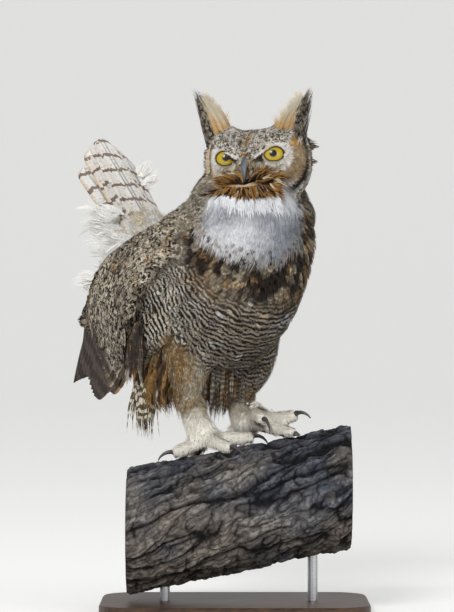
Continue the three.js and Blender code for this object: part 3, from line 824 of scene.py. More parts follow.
axes = {"trunk": ((0, -60, 340), (0, 150, 210)), "head": (onHead((0, 0, -50)), onHead((0, 0, 50))),
        "neck": ((6, -45, 260), (6, -45, 350)), "bib": ((-24, -60, 220), (-24, -60, 330)),
        "covert": (covertRoot, covertTip), "shank": ((0, 15, 100), (0, 15, 0)),
        "toe": ((0, 5, 60), (0, 5, 0))}
for side, sign in sides.items():
    axes[f"wing_{side}"] = (sign * 80, -40, 260), (sign * 60, 230, 80)
    axes[f"thigh_{side}"] = (sign * 46, 30, 160), (sign * 46, 40, 30)


def spotsAt(points, axis):       # what the skin holds at each point
    place, corners, parts = settle(points)
    fields = {"lie": lieField, "tint": skinTint, "ink": skinInk, "pattern": skinPattern, "phase": skinPhase,
              "period": skinPeriod, "depth": depth}
    spots = {key: sample(values, corners, parts) for key, values in fields.items()}
    out = unit(sample(skinNormals, corners, parts))
    return {**spots, "place": place, "out": out, "patch": unwrap(place, *axes[axis])}


def handSpots(count, tint, ink, pattern, period, phase=0.0, roots=None, axis=None):
    wide = {"tint": tint, "ink": ink, "pattern": np.array(pattern, float)}
    made = {key: np.broadcast_to(value, (count, 3)).copy() for key, value in wide.items()}
    patch = columns(np.linspace(0.02, 0.98, count), 0.5) if roots is None else unwrap(roots, *axes[axis])
    return {**made, "phase": np.zeros(count) + phase, "period": np.zeros(count) + period, "patch": patch}


def pick(tones, shares, count, low=1, high=None):    # random tones by share, each a little lighter or darker
    picked = np.array(tones)[dice.choice(len(tones), count, p=shares)]
    return picked if high is None else picked * between(low, high, (count, 1))


def comb(spots, look):           # spines that creep over the skin along its lie
    count, levels = len(spots["place"]), look["levels"]
    length = look["length"] * between(1 - look["vary"], 1 + look["vary"], count) * spots.get("scale", 1)
    turn = np.radians(dice.normal(0, look["wander"], count))[:, None]
    out = spots["out"]
    heading = flat(spots["lie"], out)
    heading = heading * np.cos(turn) + np.cross(out, heading) * np.sin(turn)
    place, spine, ups = spots["place"], [], []
    stretch = np.ones((count, 1))
    for k in range(levels):
        rise = np.interp(k / (levels - 1), np.linspace(0, 1, len(look["rise"])), look["rise"])
        spine.append(place + out * (spots["depth"] * rise)[:, None])
        ups.append(out)
        if k < levels - 1:
            ahead = place + heading * (length / (levels - 1))[:, None] * stretch
            nextPlace, corners, parts = settle(ahead)
            nextOut = unit(sample(skinNormals, corners, parts))
            over = ((nextOut * out).sum(1) < 0.55)[:, None]      # past an edge the feather goes on straight
            nextPlace = np.where(over, ahead, nextPlace)
            stretch = np.where(over, look["past"], 1.0)
            out = np.where(over, out, nextOut)
            heading = flat(unit(nextPlace - place) * 0.6 + heading * 0.4
                           + sample(lieField, corners, parts) * np.where(over, 0, 0.25), out)
            place = nextPlace
    return np.stack(spine, 1), np.stack(ups, 1)


def coat(name, points, axis, look, slotName="plumage", change=None):
    spots = spotsAt(points, axis)
    spots["tint"] = spots["tint"] * between(1 - look["tones"], 1 + look["tones"] * 0.6, (len(points), 1))
    if change:
        change(spots)
    spine, up = comb(spots, look)
    width = look["width"] * between(0.8, 1.2, len(points)) * spots.get("scale", 1)
    makePiece(name, *fans(spine, up, width, spots, look), slotName=slotName)


bodyFan = {"length": 30, "width": 16, "strips": 9, "levels": 4, "spread": (0.2, 0.85, 1, 0.85), "trim": 0.32,
           "rag": 0.06, "cup": 0.1, "fluff": 0.05, "fine": 1.35, "vary": 0.15, "wander": 6,
           "rise": (0.0, 0.55, 0.9, 1.05), "tones": 0.16, "past": 0.35}
faceShare = faceMask[skinFaces].mean(1)
faceOwner = np.array(labels)[np.argmax(weights[skinFaces].mean(1), axis=1)]
centres = surface[skinFaces].mean(1)
faceTurn = unit(skinNormals[skinFaces].mean(1))


def among(*names):
    return np.isin(faceOwner, names)


wingSides = faceTurn @ np.array([0, 0.7, -0.71]) < 0.55       # the closed end of each wing stays bare


def bibScale(spots):             # shorter under the chin
    spots["scale"] = 0.45 + 0.55 * ease(18, 52, np.linalg.norm(spots["place"] - mouth, axis=1))


def wingScale(spots):            # smaller towards the wing's end, and each its own tone
    spots["scale"] = 0.85 + 0.15 * ease(128, 168, spots["place"][:, 2])
    tone = pick([0.5, 0.75, 1, 1.3, 1.7], (0.18, 0.24, 0.28, 0.2, 0.1), len(spots["place"]))
    spots["tint"] = np.minimum(spots["tint"] * tone[:, None], 0.8)
    spots["pattern"] = spots["pattern"] * (1 - 0.45 * (tone > 1.5))[:, None]


def rumpScale(spots):            # short round the root of the tail
    away = np.linalg.norm(spots["place"] - np.array([0, 150, 235]), axis=1)
    spots["scale"] = 0.45 + 0.55 * ease(34, 80, away)


def breastScale(spots):          # short on the blotched breast
    away = np.linalg.norm(spots["place"] - breastMiddle, axis=1)
    spots["scale"] = 1 - 0.4 * ease(112, 90, away)


def shaggy(spots):               # brown, ochre and cream by turns on the outer side of the right thigh
    outer = ease(-34, -60, spots["place"][:, 0] - 0.3 * spots["place"][:, 1])[:, None] * 0.5
    kinds = np.array([palette["ochre"] * 0.8, inks["brown"], palette["cream"], palette["thigh"]])
    spots["tint"] = spots["tint"] * (1 - outer) + kinds[dice.integers(4, size=len(outer))] * outer


mouth = onHead((-2, -54, -30))
x, y, z = centres.T
thighFan = {"spacing": 2.8, "length": 24, "width": 6.5, "strips": 6, "fine": 0.8, "rag": 0.16, "fluff": 0.22,
            "wander": 14, "rise": (0.0, 0.5, 0.85, 1.0), "vary": 0.3, "tones": 0.2}
wingFan = {"spacing": 3.9, "length": 22, "width": 12}
headSkin = among("head", "disc")
coats = {   # where each grows, the axis of its unwrap, its slot, what changes over it, and its look
    "breast_coat": (among("trunk") & (y < 0), "trunk", "plumage", breastScale,
                    {"spacing": 4.0, "length": 24, "width": 12, "tones": 0.26}),
    "back_coat": (among("trunk") & (y >= 0), "trunk", "plumage", rumpScale,
                  {"spacing": 4.2, "length": 26, "width": 13}),
    "neck_coat": (among("neck"), "neck", "plumage", None, {"spacing": 3.4, "length": 19, "width": 9}),
    "bib_coat": (among("bib"), "bib", "white_plumage", bibScale,
                 {"spacing": 2.9, "length": 32, "width": 15, "strips": 15, "levels": 5, "fine": 1.1,
                  "rag": 0.12, "fluff": 0.02, "trim": 0.42, "cup": 0.03, "spread": (0.3, 0.8, 1.0, 1.1),
                  "tones": 0.015, "rise": (0.0, 0.6, 0.85, 0.97)}),
    "crown_coat": (headSkin & (faceShare < 0.4), "head", "plumage", None,
                   {"spacing": 2.3, "length": 9, "width": 4.6, "strips": 5, "wander": 9, "tones": 0.3}),
    "face_coat": (headSkin & (faceShare >= 0.4), "head", "face", None,
                  {"spacing": 1.25, "length": 8, "width": 2.4, "strips": 3, "fine": 0.8, "rag": 0.1,
                   "rise": (0.0, 0.6, 0.8, 0.9), "tones": 0.26}),
    "wing_right_coat": (among("wing") & (x < 0) & wingSides, "wing_right", "plumage", wingScale, wingFan),
    "wing_left_coat": (among("wing") & (x > 0) & wingSides, "wing_left", "plumage", wingScale, wingFan),
    "tail_covert_coat": (among("covert") & (z < 300), "covert", "white_plumage", None,
                         {"spacing": 4.2, "length": 26, "width": 13, "strips": 8, "fine": 0.8, "rag": 0.2,
                          "fluff": 0.2, "wander": 16, "rise": (0.0, 0.4, 0.8, 1.0), "vary": 0.35,
                          "tones": 0.06}),
    "thigh_right_coat": (among("thigh") & (x < 0), "thigh_right", "plumage", shaggy, thighFan),
    "thigh_left_coat": (among("thigh") & (x > 0), "thigh_left", "plumage", None, thighFan),
    "shank_coat": (among("shank"), "shank", "leg", None,
                   {"spacing": 2.2, "length": 10, "width": 3.2, "strips": 3, "fine": 0.9, "rag": 0.1,
                    "wander": 10}),
    "toe_coat": (among("toe") & (faceTurn[:, 2] > -0.7), "toe", "leg", None,
                 {"spacing": 1.6, "length": 6, "width": 2.2, "strips": 3, "fine": 0.9, "rag": 0.1,
                  "wander": 9, "fluff": 0.05, "rise": (0.0, 1.6, 2.4, 2.7), "tones": 0.06}),
}
for coatName, (where, axis, slotName, change, look) in coats.items():
    coat(coatName, scatter(where, look["spacing"]), axis, {**bodyFan, **look}, slotName, change)

# tail and flight feathers
vaneStations = np.array([-1, -0.8, -0.55, -0.3, -0.07, 0, 0.07, 0.3, 0.55, 0.8, 1.0])


def blades(spine, up, width, spots, look):       # stiff feathers with a rib, each a single sheet
    count, levels = spine.shape[:2]
    v = vaneStations
    u = np.linspace(0, 1, levels)
    tip = np.broadcast_to(look["round"], (count,))[:, None]      # the share of the length that the tip takes
    rounded = np.sqrt(np.clip(1 - np.clip((u - 1 + tip) / tip, 0, 1) ** 2, 0.0025, 1))
    outline = np.clip(u / 0.16 + 0.25, 0, 1) * rounded
    ragged = 1 - look["rag"] * dice.random((count, levels, len(v))) * np.abs(v) ** 3
    tangent = unit(np.gradient(spine, axis=1))
    across = unit(np.cross(up, tangent))
    lean = np.where(v < 0, v * look["narrow"], v)
    half = (width / 2)[:, None, None] * outline[:, :, None] * ragged * lean
    rise = (np.exp(-(v / 0.06) ** 2) * look["rib"])[None, None] * (1.1 - u)[None, :, None] \
        - look["camber"] * (width / 2)[:, None, None] * v ** 2
    barbs = look["sweep"] * (width / 2)[:, None, None] * np.abs(lean) * outline[:, :, None]
    points = spine[:, :, None] + across[:, :, None] * half[..., None] + up[:, :, None] * rise[..., None] \
        + tangent[:, :, None] * (barbs * (1 - u[None, :, None] ** 4))[..., None]
    faces = repeatFaces(gridFaces(levels, len(v)), count, levels * len(v))
    flatU, flatV = np.tile(np.repeat(u, len(v)), count), np.tile(v, count * levels)
    return points.reshape(-1, 3), faces, *featherMarks(spots, flatU, flatV, dice.random(count), spine)


tailLook = {"count": 12, "levels": 34, "width": 33, "round": 0.13, "rag": 0.08, "narrow": 0.8, "rib": 0.9,
            "camber": 0.05, "sweep": 0.25, "period": 27}
tailRoot, tailTip = np.array([0, 118, 230.0]), np.array([0, 275, 394.0])
tailRun = unit(tailTip - tailRoot)
tailUp = unit(np.cross(np.array([1.0, 0, 0]), tailRun))      # the upper side, towards the head
tailLength = np.linalg.norm(tailTip - tailRoot)


def tailPlace(along, aside, lift):               # along is a share of the tail, the rest are millimetres
    along, aside, lift = (np.asarray(value, float)[..., None] for value in (along, aside, lift))
    return tailRoot + tailRun * along * tailLength + np.array([1.0, 0, 0]) * aside + tailUp * lift


def buildTail():
    look = tailLook
    count = look["count"]
    order = np.arange(count) - (count - 1) / 2
    out = np.abs(order) / order.max()
    u = np.linspace(0.05, 1, look["levels"])[None]
    length = 1 - 0.13 * out ** 1.6 - dice.random(count) * 0.02
    length[0] = 0.79
    aside = order[:, None] * (3.9 + 1.0 * u) - 7 * u
    aside[0] -= 13 * u[0] ** 1.2                             # the outermost on the right stands apart
    lift = (0.5 - out)[:, None] * (10 - 6 * u)
    lift[0] -= 6
    spine = tailPlace(u * length[:, None], aside, lift)
    tilt = np.radians(order * 3.0)[:, None, None]
    up = np.broadcast_to(tailUp * np.cos(tilt) + np.array([1.0, 0, 0]) * np.sin(tilt), spine.shape)
    spots = handSpots(count, palette["white"] * 0.94, inks["brown"] * 1.15, (0.85, 0.45, 1.0), look["period"],
                      dice.random(count) * 0.5)
    points, faces, marks, patches = blades(spine, up, np.full(count, look["width"]), spots, look)
    vane = np.abs(marks["vane"][:, 1])
    marks["lie"] = marks["lie"] + 0.16 * vane ** 2           # each bar arches across its feather
    owner = np.repeat(np.arange(count), look["levels"] * len(vaneStations))
    marks["tint"] = fade(marks["tint"], palette["ochre"], ease(0.6, 1.0, vane) * (0.25 + 0.5 * (owner < 2)))
    marks["ink"] = fade(marks["ink"], inks["mantle"], ease(0.8, 1.0, vane))
    makePiece("tail_feathers", points, faces, marks, patches, bladePlumage, "tail", ["tail"])


buildTail()


def wingPlace(sign, station, across, lift):      # a place on the wing's outer face, and the way out of it
    knots = wingStations * np.array([sign, 1, 1, sign, 1, 1, 1])
    i = np.clip(np.floor(station).astype(int), 0, len(knots) - 2)
    f = (station - i)[..., None]
    row = knots[i] * (1 - f) + knots[i + 1] * f
    upper, lower, thick = row[..., :3], row[..., 3:6], row[..., 6]
    middle, reach = (upper + lower) / 2, (upper - lower) / 2
    out = unit(np.cross(reach, knots[i + 1, :3] - knots[i, :3] + knots[i + 1, 3:6] - knots[i, 3:6]))
    out = out * np.sign(out[..., :1] * sign)
    t = across * 2 - 1
    bulge = thick * np.sqrt(np.clip(1 - t ** 2, 0, 1))
    return middle + reach * t[..., None] + out * (bulge + lift)[..., None], out


flightLook = {"primaries": 10, "secondaries": 14, "levels": 24, "width": 23, "rag": 0.06, "narrow": 0.62,
              "rib": 0.8, "camber": 0.12, "sweep": 0.35, "period": 27}


def buildFlight(side, sign):
    look = flightLook
    u = np.linspace(0, 1, look["levels"])[None]
    n = look["primaries"]
    k = (np.arange(n) / (n - 1))[:, None]                    # 0 along the lower edge, 1 along the upper
    reach = 7.5 + np.where(k > 0.5, 0.62, 0.5) * np.abs(2 * k - 1) ** 0.7
    station = 4.9 + (reach - 4.9) * u
    across = (0.14 + 0.78 * k) * (1 - u) + (0.14 + 0.84 * k) * u
    lift = -5 + 4 * u + 1.6 * (1 - k) * (1 - u)
    spineA, upA = wingPlace(sign, station, across, lift)
    m = look["secondaries"]
    k2 = (np.arange(m) / (m - 1))[:, None]
    station = 4.4 + (6.0 + 1.2 * (1 - k2) - 4.4) * u
    across = (0.02 + 0.8 * k2) * (1 - u) + (-0.02 + 0.6 * k2) * u
    spineB, upB = wingPlace(sign, station, across, -4 + 5.5 * u + k2)
    spots = handSpots(n + m, palette["primary"] * 1.25, inks["mantle"] * 1.3, (0.75, 0.45, 0.8),
                      look["period"], dice.random(n + m) * 0.2)
    spots["tint"][n:] = palette["wingDark"] * 0.55
    spots["tint"][n::2] = palette["wingDark"] * 0.9
    width = np.concatenate([np.full(n, look["width"]), np.full(m, look["width"] * 0.95)])
    tips = np.concatenate([np.where(k[:, 0] > 0.5, 0.5, 0.16), np.full(m, 0.3)])
    spine, up = np.concatenate([spineA, spineB]), np.concatenate([upA, upB])
    points, faces, marks, patches = blades(spine, up, width, spots, {**look, "round": tips})
    owner = np.repeat(np.arange(n + m), look["levels"] * len(vaneStations))
    edge = ease(0.5, 0.9, np.abs(marks["vane"][:, 1])) * (owner >= n) * (owner % 2 == 0)
    buff = fade(np.broadcast_to(palette["ochre"], points.shape), palette["cream"], (owner % 4 == 0) * 0.6)
    marks["tint"] = fade(marks["tint"], buff, edge * 0.9)
    makePiece(f"flight_vanes_{side}", points, faces, marks, patches, flightPlumage, "flight",
              [f"flight_feathers_{side}"])


freeLook = {"strips": 7, "levels": 7, "spread": (0.3, 0.85, 1, 0.75), "trim": 0.3, "rag": 0.08, "cup": 0.14,
            "fluff": 0.1, "fine": 1.1}
rowLook = {**freeLook, "count": 190, "strips": 9, "fluff": 0.05, "width": (11, 15), "station": (4.2, 5.7),
           "across": (0.04, 0.8)}


def buildCoverts(side, sign):    # mottled rows over the roots of the flight feathers
    look = rowLook
    count = look["count"]
    station, across = between(*look["station"], count), between(*look["across"], count)
    station = station - 0.5 * across
    steps = np.linspace(0, 1, look["levels"])[None]
    spine, up = wingPlace(sign, station[:, None] + 0.95 * steps, across[:, None] - 0.04 * steps,
                          0.5 + 1.5 * np.sin(steps * 3))
    spots = handSpots(count, palette["mantle"], inks["mantle"], (0.15, 1.0, 0.4), 7.0, dice.random(count),
                      spine[:, 0], f"wing_{side}")
    spots["tint"] = spots["tint"] * dice.choice([0.55, 0.8, 1.0, 1.25], (count, 1))
    makePiece(f"wing_rows_{side}", *fans(spine, up, between(*look["width"], count), spots, look))


for build, (side, sign) in itertools.product((buildCoverts, buildFlight), sides.items()):
    build(side, sign)

# ear tufts
earLook = {"count": 19, "back": 9, "width": 9, "strips": 13, "levels": 6, "spread": (0.7, 0.95, 1, 0.85),
           "trim": 0.3, "rag": 0.14, "cup": 0.1, "fluff": 0.12, "fine": 0.9}
fringeLook = {"count": 170, "length": (11, 21), "width": 2.4, "strips": 3, "levels": 4,
              "spread": (0.4, 0.8, 1, 1.1), "trim": 0.2, "rag": 0.15, "cup": 0.1, "fluff": 0.1, "fine": 0.6}
earEdges = np.array([[28, -14, 30, 58, -10, 16], [32, -12, 44, 61, -9, 36], [42, -9, 61, 65, -6, 56],
                     [56, -6, 77, 70, -4, 74], [69, -4, 89, 72, -4, 88.5]], float)


earSteps = 20
earDroop = {"right": 1.0, "left": 0.87}


def buildEar(side, sign):
    droop = earDroop[side]
    path = spline(earEdges * np.array([sign, 1, droop, sign, 1, droop]), earSteps + 1)

    def earPlace(q, t, forward):     # q runs up the tuft, t across it
        i = np.clip((q * earSteps).astype(int), 0, earSteps - 1)
        f = (q * earSteps - i)[..., None]
        row = path[i] * (1 - f) + path[i + 1] * f
        spot = row[..., :3] * (1 - t[..., None]) + row[..., 3:] * t[..., None]
        return onHead(spot + np.array([0, -1.0, 0]) * forward[..., None])

    look = earLook
    n = look["count"]
    t = np.linspace(0.05, 0.94, n)[:, None]
    u = np.linspace(0, 1, look["levels"])[None]
    reach = 1 - 0.42 * np.abs(t - 0.62) * 1.6
    start = 0.1 * dice.random((n, 1))
    arch = np.sin(u * math.pi) * 1.6
    order = np.argsort(dice.random(n))[:, None]
    spine = earPlace(np.clip(start + (reach - start) * u, 0, 1), t, 3.0 + arch + order * 0.22)
    up = np.broadcast_to(fromHead([0, -1.0, 0.12]), spine.shape)
    spots = handSpots(n, palette["cream"], palette["black"], (0, 0.1, 0.8), 9)
    dark = t[:, 0] > 0.52
    spots["tint"][dark] = palette["mantle"] * 0.45
    spots["pattern"][dark] = (0.35, 1.0, 0.6)
    spots["tint"] = spots["tint"] * between(0.8, 1.08, (n, 1))
    first = fans(spine, up, np.full(n, look["width"]) * (1 - 0.2 * dice.random(n)), spots, look)
    shade = ease(0.92, 0.35, first[2]["vane"][:, 0] + 0.25 * np.abs(first[2]["vane"][:, 1]))
    pale = np.repeat(~dark, look["strips"] * (2 * look["levels"] - 1))
    first[2]["tint"] = fade(first[2]["tint"], palette["ochre"], shade * pale * 0.9)
    # the back of the tuft is dark and mottled
    n = look["back"]
    t = np.linspace(0.1, 0.92, n)[:, None]
    spine = earPlace(np.clip((0.97 - 0.3 * np.abs(t - 0.6)) * u, 0, 1), t,
                     -3.0 - arch + 0.3 * dice.random((n, 1)))
    spots = handSpots(n, palette["wingDark"] * 0.55, palette["black"], (0.2, 0.9, 0.3), 7)
    second = fans(spine, -up[:1].repeat(n, 0), np.full(n, look["width"] + 1.5), spots, look)
    # pale loose barbs along the inner edge
    look = fringeLook
    n = look["count"]
    u = np.linspace(0, 1, look["levels"])[None]
    q = between(0.02, 0.8, (n, 1))
    length = between(*look["length"], (n, 1)) * (1 - q * 0.45)
    root = earPlace(q, between(0.05, 0.35, (n, 1)), between(-1, 4.5, (n, 1)))[:, 0]
    inward = fromHead([-0.55 * sign, 0, 0.1]) * between(0.3, 1.0, (n, 1))
    heading = unit(fromHead([0.35 * sign, 0, 1.0])) + inward
    heading = unit(heading + jitter(n, 0.07))
    bend = fromHead([-0.25 * sign, 0, 0.0]) * (u ** 2)[..., None] * length[..., None]
    spine = root[:, None] + heading[:, None] * (u * length)[..., None] + bend
    spots = handSpots(n, palette["cream"] * 1.05, inks["soft"], (0, 0.1, 0), 9)
    warm = ease(0.5, 0.1, q[:, 0]) * 0.85
    spots["tint"] = fade(spots["tint"] * between(0.8, 1.1, (n, 1)), palette["ochre"] * 1.05, warm)
    up = np.broadcast_to(fromHead([0, -1.0, 0]), spine.shape)
    third = fans(spine, up, np.full(n, look["width"]), spots, look)
    parts = [first, second, third]
    points, faces = together([part[:2] for part in parts])
    marks = {key: np.concatenate([part[2][key] for part in parts]) for key in first[2]}
    makePiece(f"ear_plumes_{side}", points, faces, marks, np.concatenate([part[3] for part in parts]),
              slotName="face", standsFor=[f"ear_tuft_{side}"])


for side, sign in sides.items():
    buildEar(side, sign)

# long feathers that hang or stand free of the skin
def hang(name, roots, ends, bow, out, spots, look, slotName="plumage", standsFor=()):
    width = between(*look["width"], len(roots))
    u = np.linspace(0, 1, look["levels"])[None, :, None]
    spine = roots[:, None] * (1 - u) + ends[:, None] * u + bow[:, None] * np.sin(u * math.pi)
    up = np.broadcast_to(unit(out)[:, None], spine.shape)
    makePiece(name, *fans(spine, up, width, spots, look), slotName=slotName, standsFor=standsFor)


flankLook = {**freeLook, "spacing": 4.6, "length": (44, 60), "width": (13, 18), "strips": 9, "rag": 0.05,
             "fluff": 0.05}
tertialLook = {**freeLook, "count": 46, "width": (7, 11), "rag": 0.06}
hangerLook = {**freeLook, "count": {"right": 440, "left": 210}, "low": {"right": 46, "left": 54},
              "width": (2.6, 4.6), "strips": 5, "fluff": 0.2}
streamerLook = {**freeLook, "count": 44, "width": (3.0, 4.6), "strips": 3, "spread": (0.6, 0.9, 1, 0.9),
                "rag": 0.04}
ventLook = {**freeLook, "count": 320, "width": (3, 5.5), "strips": 5, "fluff": 0.25}
instepLook = {**freeLook, "count": 150, "width": (4, 6), "strips": 5}
rumpLook = {**freeLook, "count": 250, "width": (13, 19), "strips": 9, "fluff": 0.06}
downLook = {**freeLook, "width": (7, 13), "strips": 7, "fine": 0.8, "rag": 0.16, "fluff": 0.25,
            "spread": (0.15, 0.7, 1, 1.15)}


def buildFlankPlumes(side, sign):    # barred feathers that close the space between flank and wing
    look = flankLook
    x, y, z = centres.T
    flank = among("trunk") & (x * sign > 28) & (y > 0) & (y < 84) & (z > 96) & (z < 222)
    roots = scatter(flank, look["spacing"])
    spots = spotsAt(roots, "trunk")
    count, out, root = len(roots), spots["out"], spots["place"]
    heading = columns(0.1 * sign, 0.8, -0.35 - 0.5 * ease(200, 120, roots[:, 2]))
    heading = heading + jitter(count, 0.04)
    length = np.minimum(between(*look["length"], count), np.maximum((114 - roots[:, 1]) / 0.8, 18))
    ends = root + unit(heading) * length[:, None] + out * 5
    hang(f"flank_plumes_{side}", root, ends, out * 4, out + np.array([0.6 * sign, 0, 0]), spots, look)


def buildTertials(side, sign):       # dark feathers that close the space between the wing and the thigh
    look = tertialLook
    count = look["count"]
    k = dice.random(count)
    root = columns(sign * (90 - 8 * k), 54 + 26 * k, 158 - 18 * k) + jitter(count, 2)
    ends = columns(sign * (78 + 8 * k), 72 + 26 * k, 96 - 6 * k) + jitter(count, 5)
    spots = handSpots(count, palette["primary"], inks["mantle"], (0.5, 0.6, 0.8), 12, dice.random(count),
                      root, f"wing_{side}")
    kinds = [palette["primary"], palette["wingDark"], palette["thigh"], palette["cream"]]
    # mostly dark tones: partly the feathers' own brown, partly painted shade in the gap between wing and
    # thigh
    spots["tint"] = pick(kinds, (0.5, 0.28, 0.14, 0.08), count, 0.7, 1.1)
    hang(f"tertials_{side}", root, ends, np.tile([sign * 2.0, 2, 0], (count, 1)),
         np.tile([sign * 0.75, -0.65, 0], (count, 1)), spots, look, "flight")


def buildHangers(side, sign):        # brown and gold feathers that hang from the thigh
    look = hangerLook
    count = look["count"][side]
    root = columns(sign * between(28, 63, count), between(34, 94, count),
                   between(84, 138, count))
    lift = 6 * (sign < 0) * ease(58, 84, root[:, 1])
    bottom = look["low"][side] + lift + between(0, 34, count)
    ends = columns(root[:, 0] + sign * dice.normal(0, 4, count), root[:, 1] + between(2, 16, count),
                   bottom)
    bow = columns(sign * between(0, 8, count), between(0, 10, count), 0.0)
    out = columns(sign * 0.7, dice.normal(-0.5, 0.5, count), 0.1)
    spots = handSpots(count, palette["cream"], inks["thigh"] * 0.8, (0.45, 0.3, 0.9), 9.0,
                      dice.random(count), root, f"thigh_{side}")
    kinds = [palette["gold"], inks["brown"], palette["cream"], inks["thigh"], palette["thigh"]]
    spots["tint"] = pick(kinds, (0.34, 0.14, 0.14, 0.22, 0.16), count, 0.75, 1.15)
    hang(f"thigh_hangers_{side}", root, ends, bow, out, spots, look, standsFor=[f"thigh_plumes_{side}"])


def buildStreamers():            # the long barred ones behind the right thigh
    look = streamerLook
    count = look["count"]
    root = columns(-between(46, 70, count), between(72, 98, count), between(70, 96, count))
    ends = root * np.array([1, 1, 0]) + columns(dice.normal(0, 4, count), between(-4, 12, count),
                                                between(17, 40, count))
    bow = columns(0.0, between(1, 6, count), 0.0)
    out = columns(-0.7, dice.normal(-0.7, 0.2, count), 0.0)
    spots = handSpots(count, palette["cream"], inks["thigh"] * 0.7, (0.9, 0, 0.3), 12,
                      dice.random(count) * 0.4, root, "thigh_right")
    hang("thigh_streamers", root, ends, bow, out, spots, look)


def buildVent():                 # soft brown feathers between the legs
    look = ventLook
    count = look["count"]
    root = columns(between(-34, 34, count), between(2, 62, count), between(86, 112, count))
    spots = spotsAt(root, "trunk")
    kinds = [palette["belly"], palette["flank"] * 0.7, palette["thigh"] * 0.7, inks["brown"]]
    spots["tint"] = pick(kinds, (0.4, 0.25, 0.2, 0.15), count, 0.7, 1.05)
    spots["pattern"] = np.broadcast_to([0.7, 0.3, 0.4], (count, 3))
    root = spots["place"] - spots["out"] * 2
    low = 36 + 0.014 * root[:, 0] ** 2 + 14 * ease(20, 0, root[:, 1])
    ends = columns(root[:, 0] + dice.normal(0, 4, count), root[:, 1] + between(2, 12, count),
                   low + between(0, 26, count))
    out = columns(dice.normal(-0.5, 0.4, count), -0.8, 0.0)
    hang("vent_plumes", root, ends, out * 3, out, spots, look)


def buildInstep():               # a white pad of feathers over the raised foot
    look = instepLook
    count = look["count"]
    root = np.array([41, -3, 57.0]) + jitter(count, 1) * np.array([6, 5, 5])
    place, corners, parts = settle(root)
    out = unit(sample(skinNormals, corners, parts))
    ends = place + out * between(4, 7, (count, 1)) + np.array([5, -4, -7.0])
    ends = ends + jitter(count, 1.5)
    spots = handSpots(count, palette["foot"], inks["soft"], (0, 0, 0), 8, 0.0, place, "shank")
    spots["tint"] = spots["tint"] * between(0.9, 1.0, (count, 1))
    hang("instep_plumes", place, ends, out * 5, out, spots, look, "leg")


def buildRump():                 # cream coverts over the root of the tail
    look = rumpLook
    count = look["count"]
    along, aside = between(-0.1, 0.26, count), between(-58, 32, count)
    along = along - 0.1 * (np.abs(aside) / 34) ** 2
    lift = 13 - 20 * np.maximum(along, 0) - (aside / 30) ** 2 * 5 + between(-2, 2, count)
    root = tailPlace(along, aside * 0.8, lift - 6)
    ends = tailPlace(along + between(0.15, 0.2, count), aside, lift)
    spots = handSpots(count, palette["cream"], inks["brown"] * 0.8, (0.25, 0.4, 0.25), 8.0,
                      dice.random(count), root, "covert")
    spots["tint"] = np.where(dice.random((count, 1)) < 0.55, palette["white"], palette["cream"])
    out = tailUp + columns(aside * 0.02, 0.0, 0.0)
    hang("rump_plumes", root, ends, np.broadcast_to(tailUp * 2, root.shape), out, spots, look)


def buildTailDown():             # white down at the tail's sides
    look, wisps = downLook, []
    for n, start, size, way, reach, stray in (
            (34, tailPlace(0.66, 22, -4), (4, 9, 12), (0.8, -0.2, 0.75), 22, 0.22),
            (8, tailPlace(0.1, 24, 0), (4, 5, 6), (0.8, -0.3, 0.6), 15, 0.2),
            (60, tailPlace(0.38, -40, -15), (7, 18, 18), (-0.8, 0.35, 0.15), 30, 0.28),
            (60, tailPlace(0.16, -46, -18), (7, 18, 18), (-0.8, 0.35, 0.0), 36, 0.28),
            (40, np.array([-62, 186, 206.0]), (3, 8, 7), (-0.5, 0.85, 0.1), 30, 0.22)):
        begin = start + between(-1, 1, (n, 3)) * np.array(size)
        heading = unit(np.array(way) + dice.normal(0, stray, (n, 3)))
        wisps.append((begin, begin + heading * reach * between(0.6, 1.1, (n, 1))))
    root, ends = gather(wisps)
    count = len(root)
    spots = handSpots(count, palette["white"] * 1.12, inks["soft"], (0, 0.0, 0), 8.0, 0.0, root, "covert")
    bow = jitter(count, 2.5)
    hang("tail_down", root, ends, bow, jitter(count, 0.3) - branchAside, spots, look)


for side, sign in sides.items():
    buildFlankPlumes(side, sign)
    buildTertials(side, sign)
    buildHangers(side, sign)
for build in (buildStreamers, buildVent, buildInstep, buildRump, buildTailDown):
    build()

# chestnut ruff
ruffLook = {**bodyFan, "length": 12.5, "width": 2.3, "strips": 3, "levels": 5, "spacing": 1.6, "fine": 0.9,
            "rag": 0.12, "fluff": 0.55, "trim": 0.3, "wander": 15, "rise": (0.1, 0.9, 1.3, 1.5),
            "vary": 0.25}


def ruffSpots(spots):
    place, count = spots["place"], len(spots["place"])
    sag = np.array([0, 0, -0.35]) * (place[:, 2:3] < mouth[2] + 4)
    spots["lie"] = flat(unit(place - mouth) + sag, spots["out"])
    kind = dice.random((count, 1))
    pale = np.where(kind < 0.94, palette["gold"], palette["cream"])
    pale = np.where(kind < 0.7, palette["ruff"] * 0.8, pale)
    spots["tint"] = np.where(kind < 0.54, inks["ruff"] * 0.8, pale)
    spots["ink"] = np.broadcast_to(inks["ruff"], (count, 3))
    spots["pattern"] = np.broadcast_to([0, 0.1, 0.3], (count, 3))
    spots["depth"] = 5 + 2.5 * (kind[:, 0] > 0.46)


x, y, z = headLocal(centres).T
low = among("ruff") & (np.abs(x) < 31)
lobes = (np.abs(x) > 7) & (np.abs(x) < 22) & (z < -16) & (z > -32) & (y < -30)
coat("chin_plumes", scatter(low | lobes, ruffLook["spacing"]), "head", ruffLook, "face", ruffSpots)

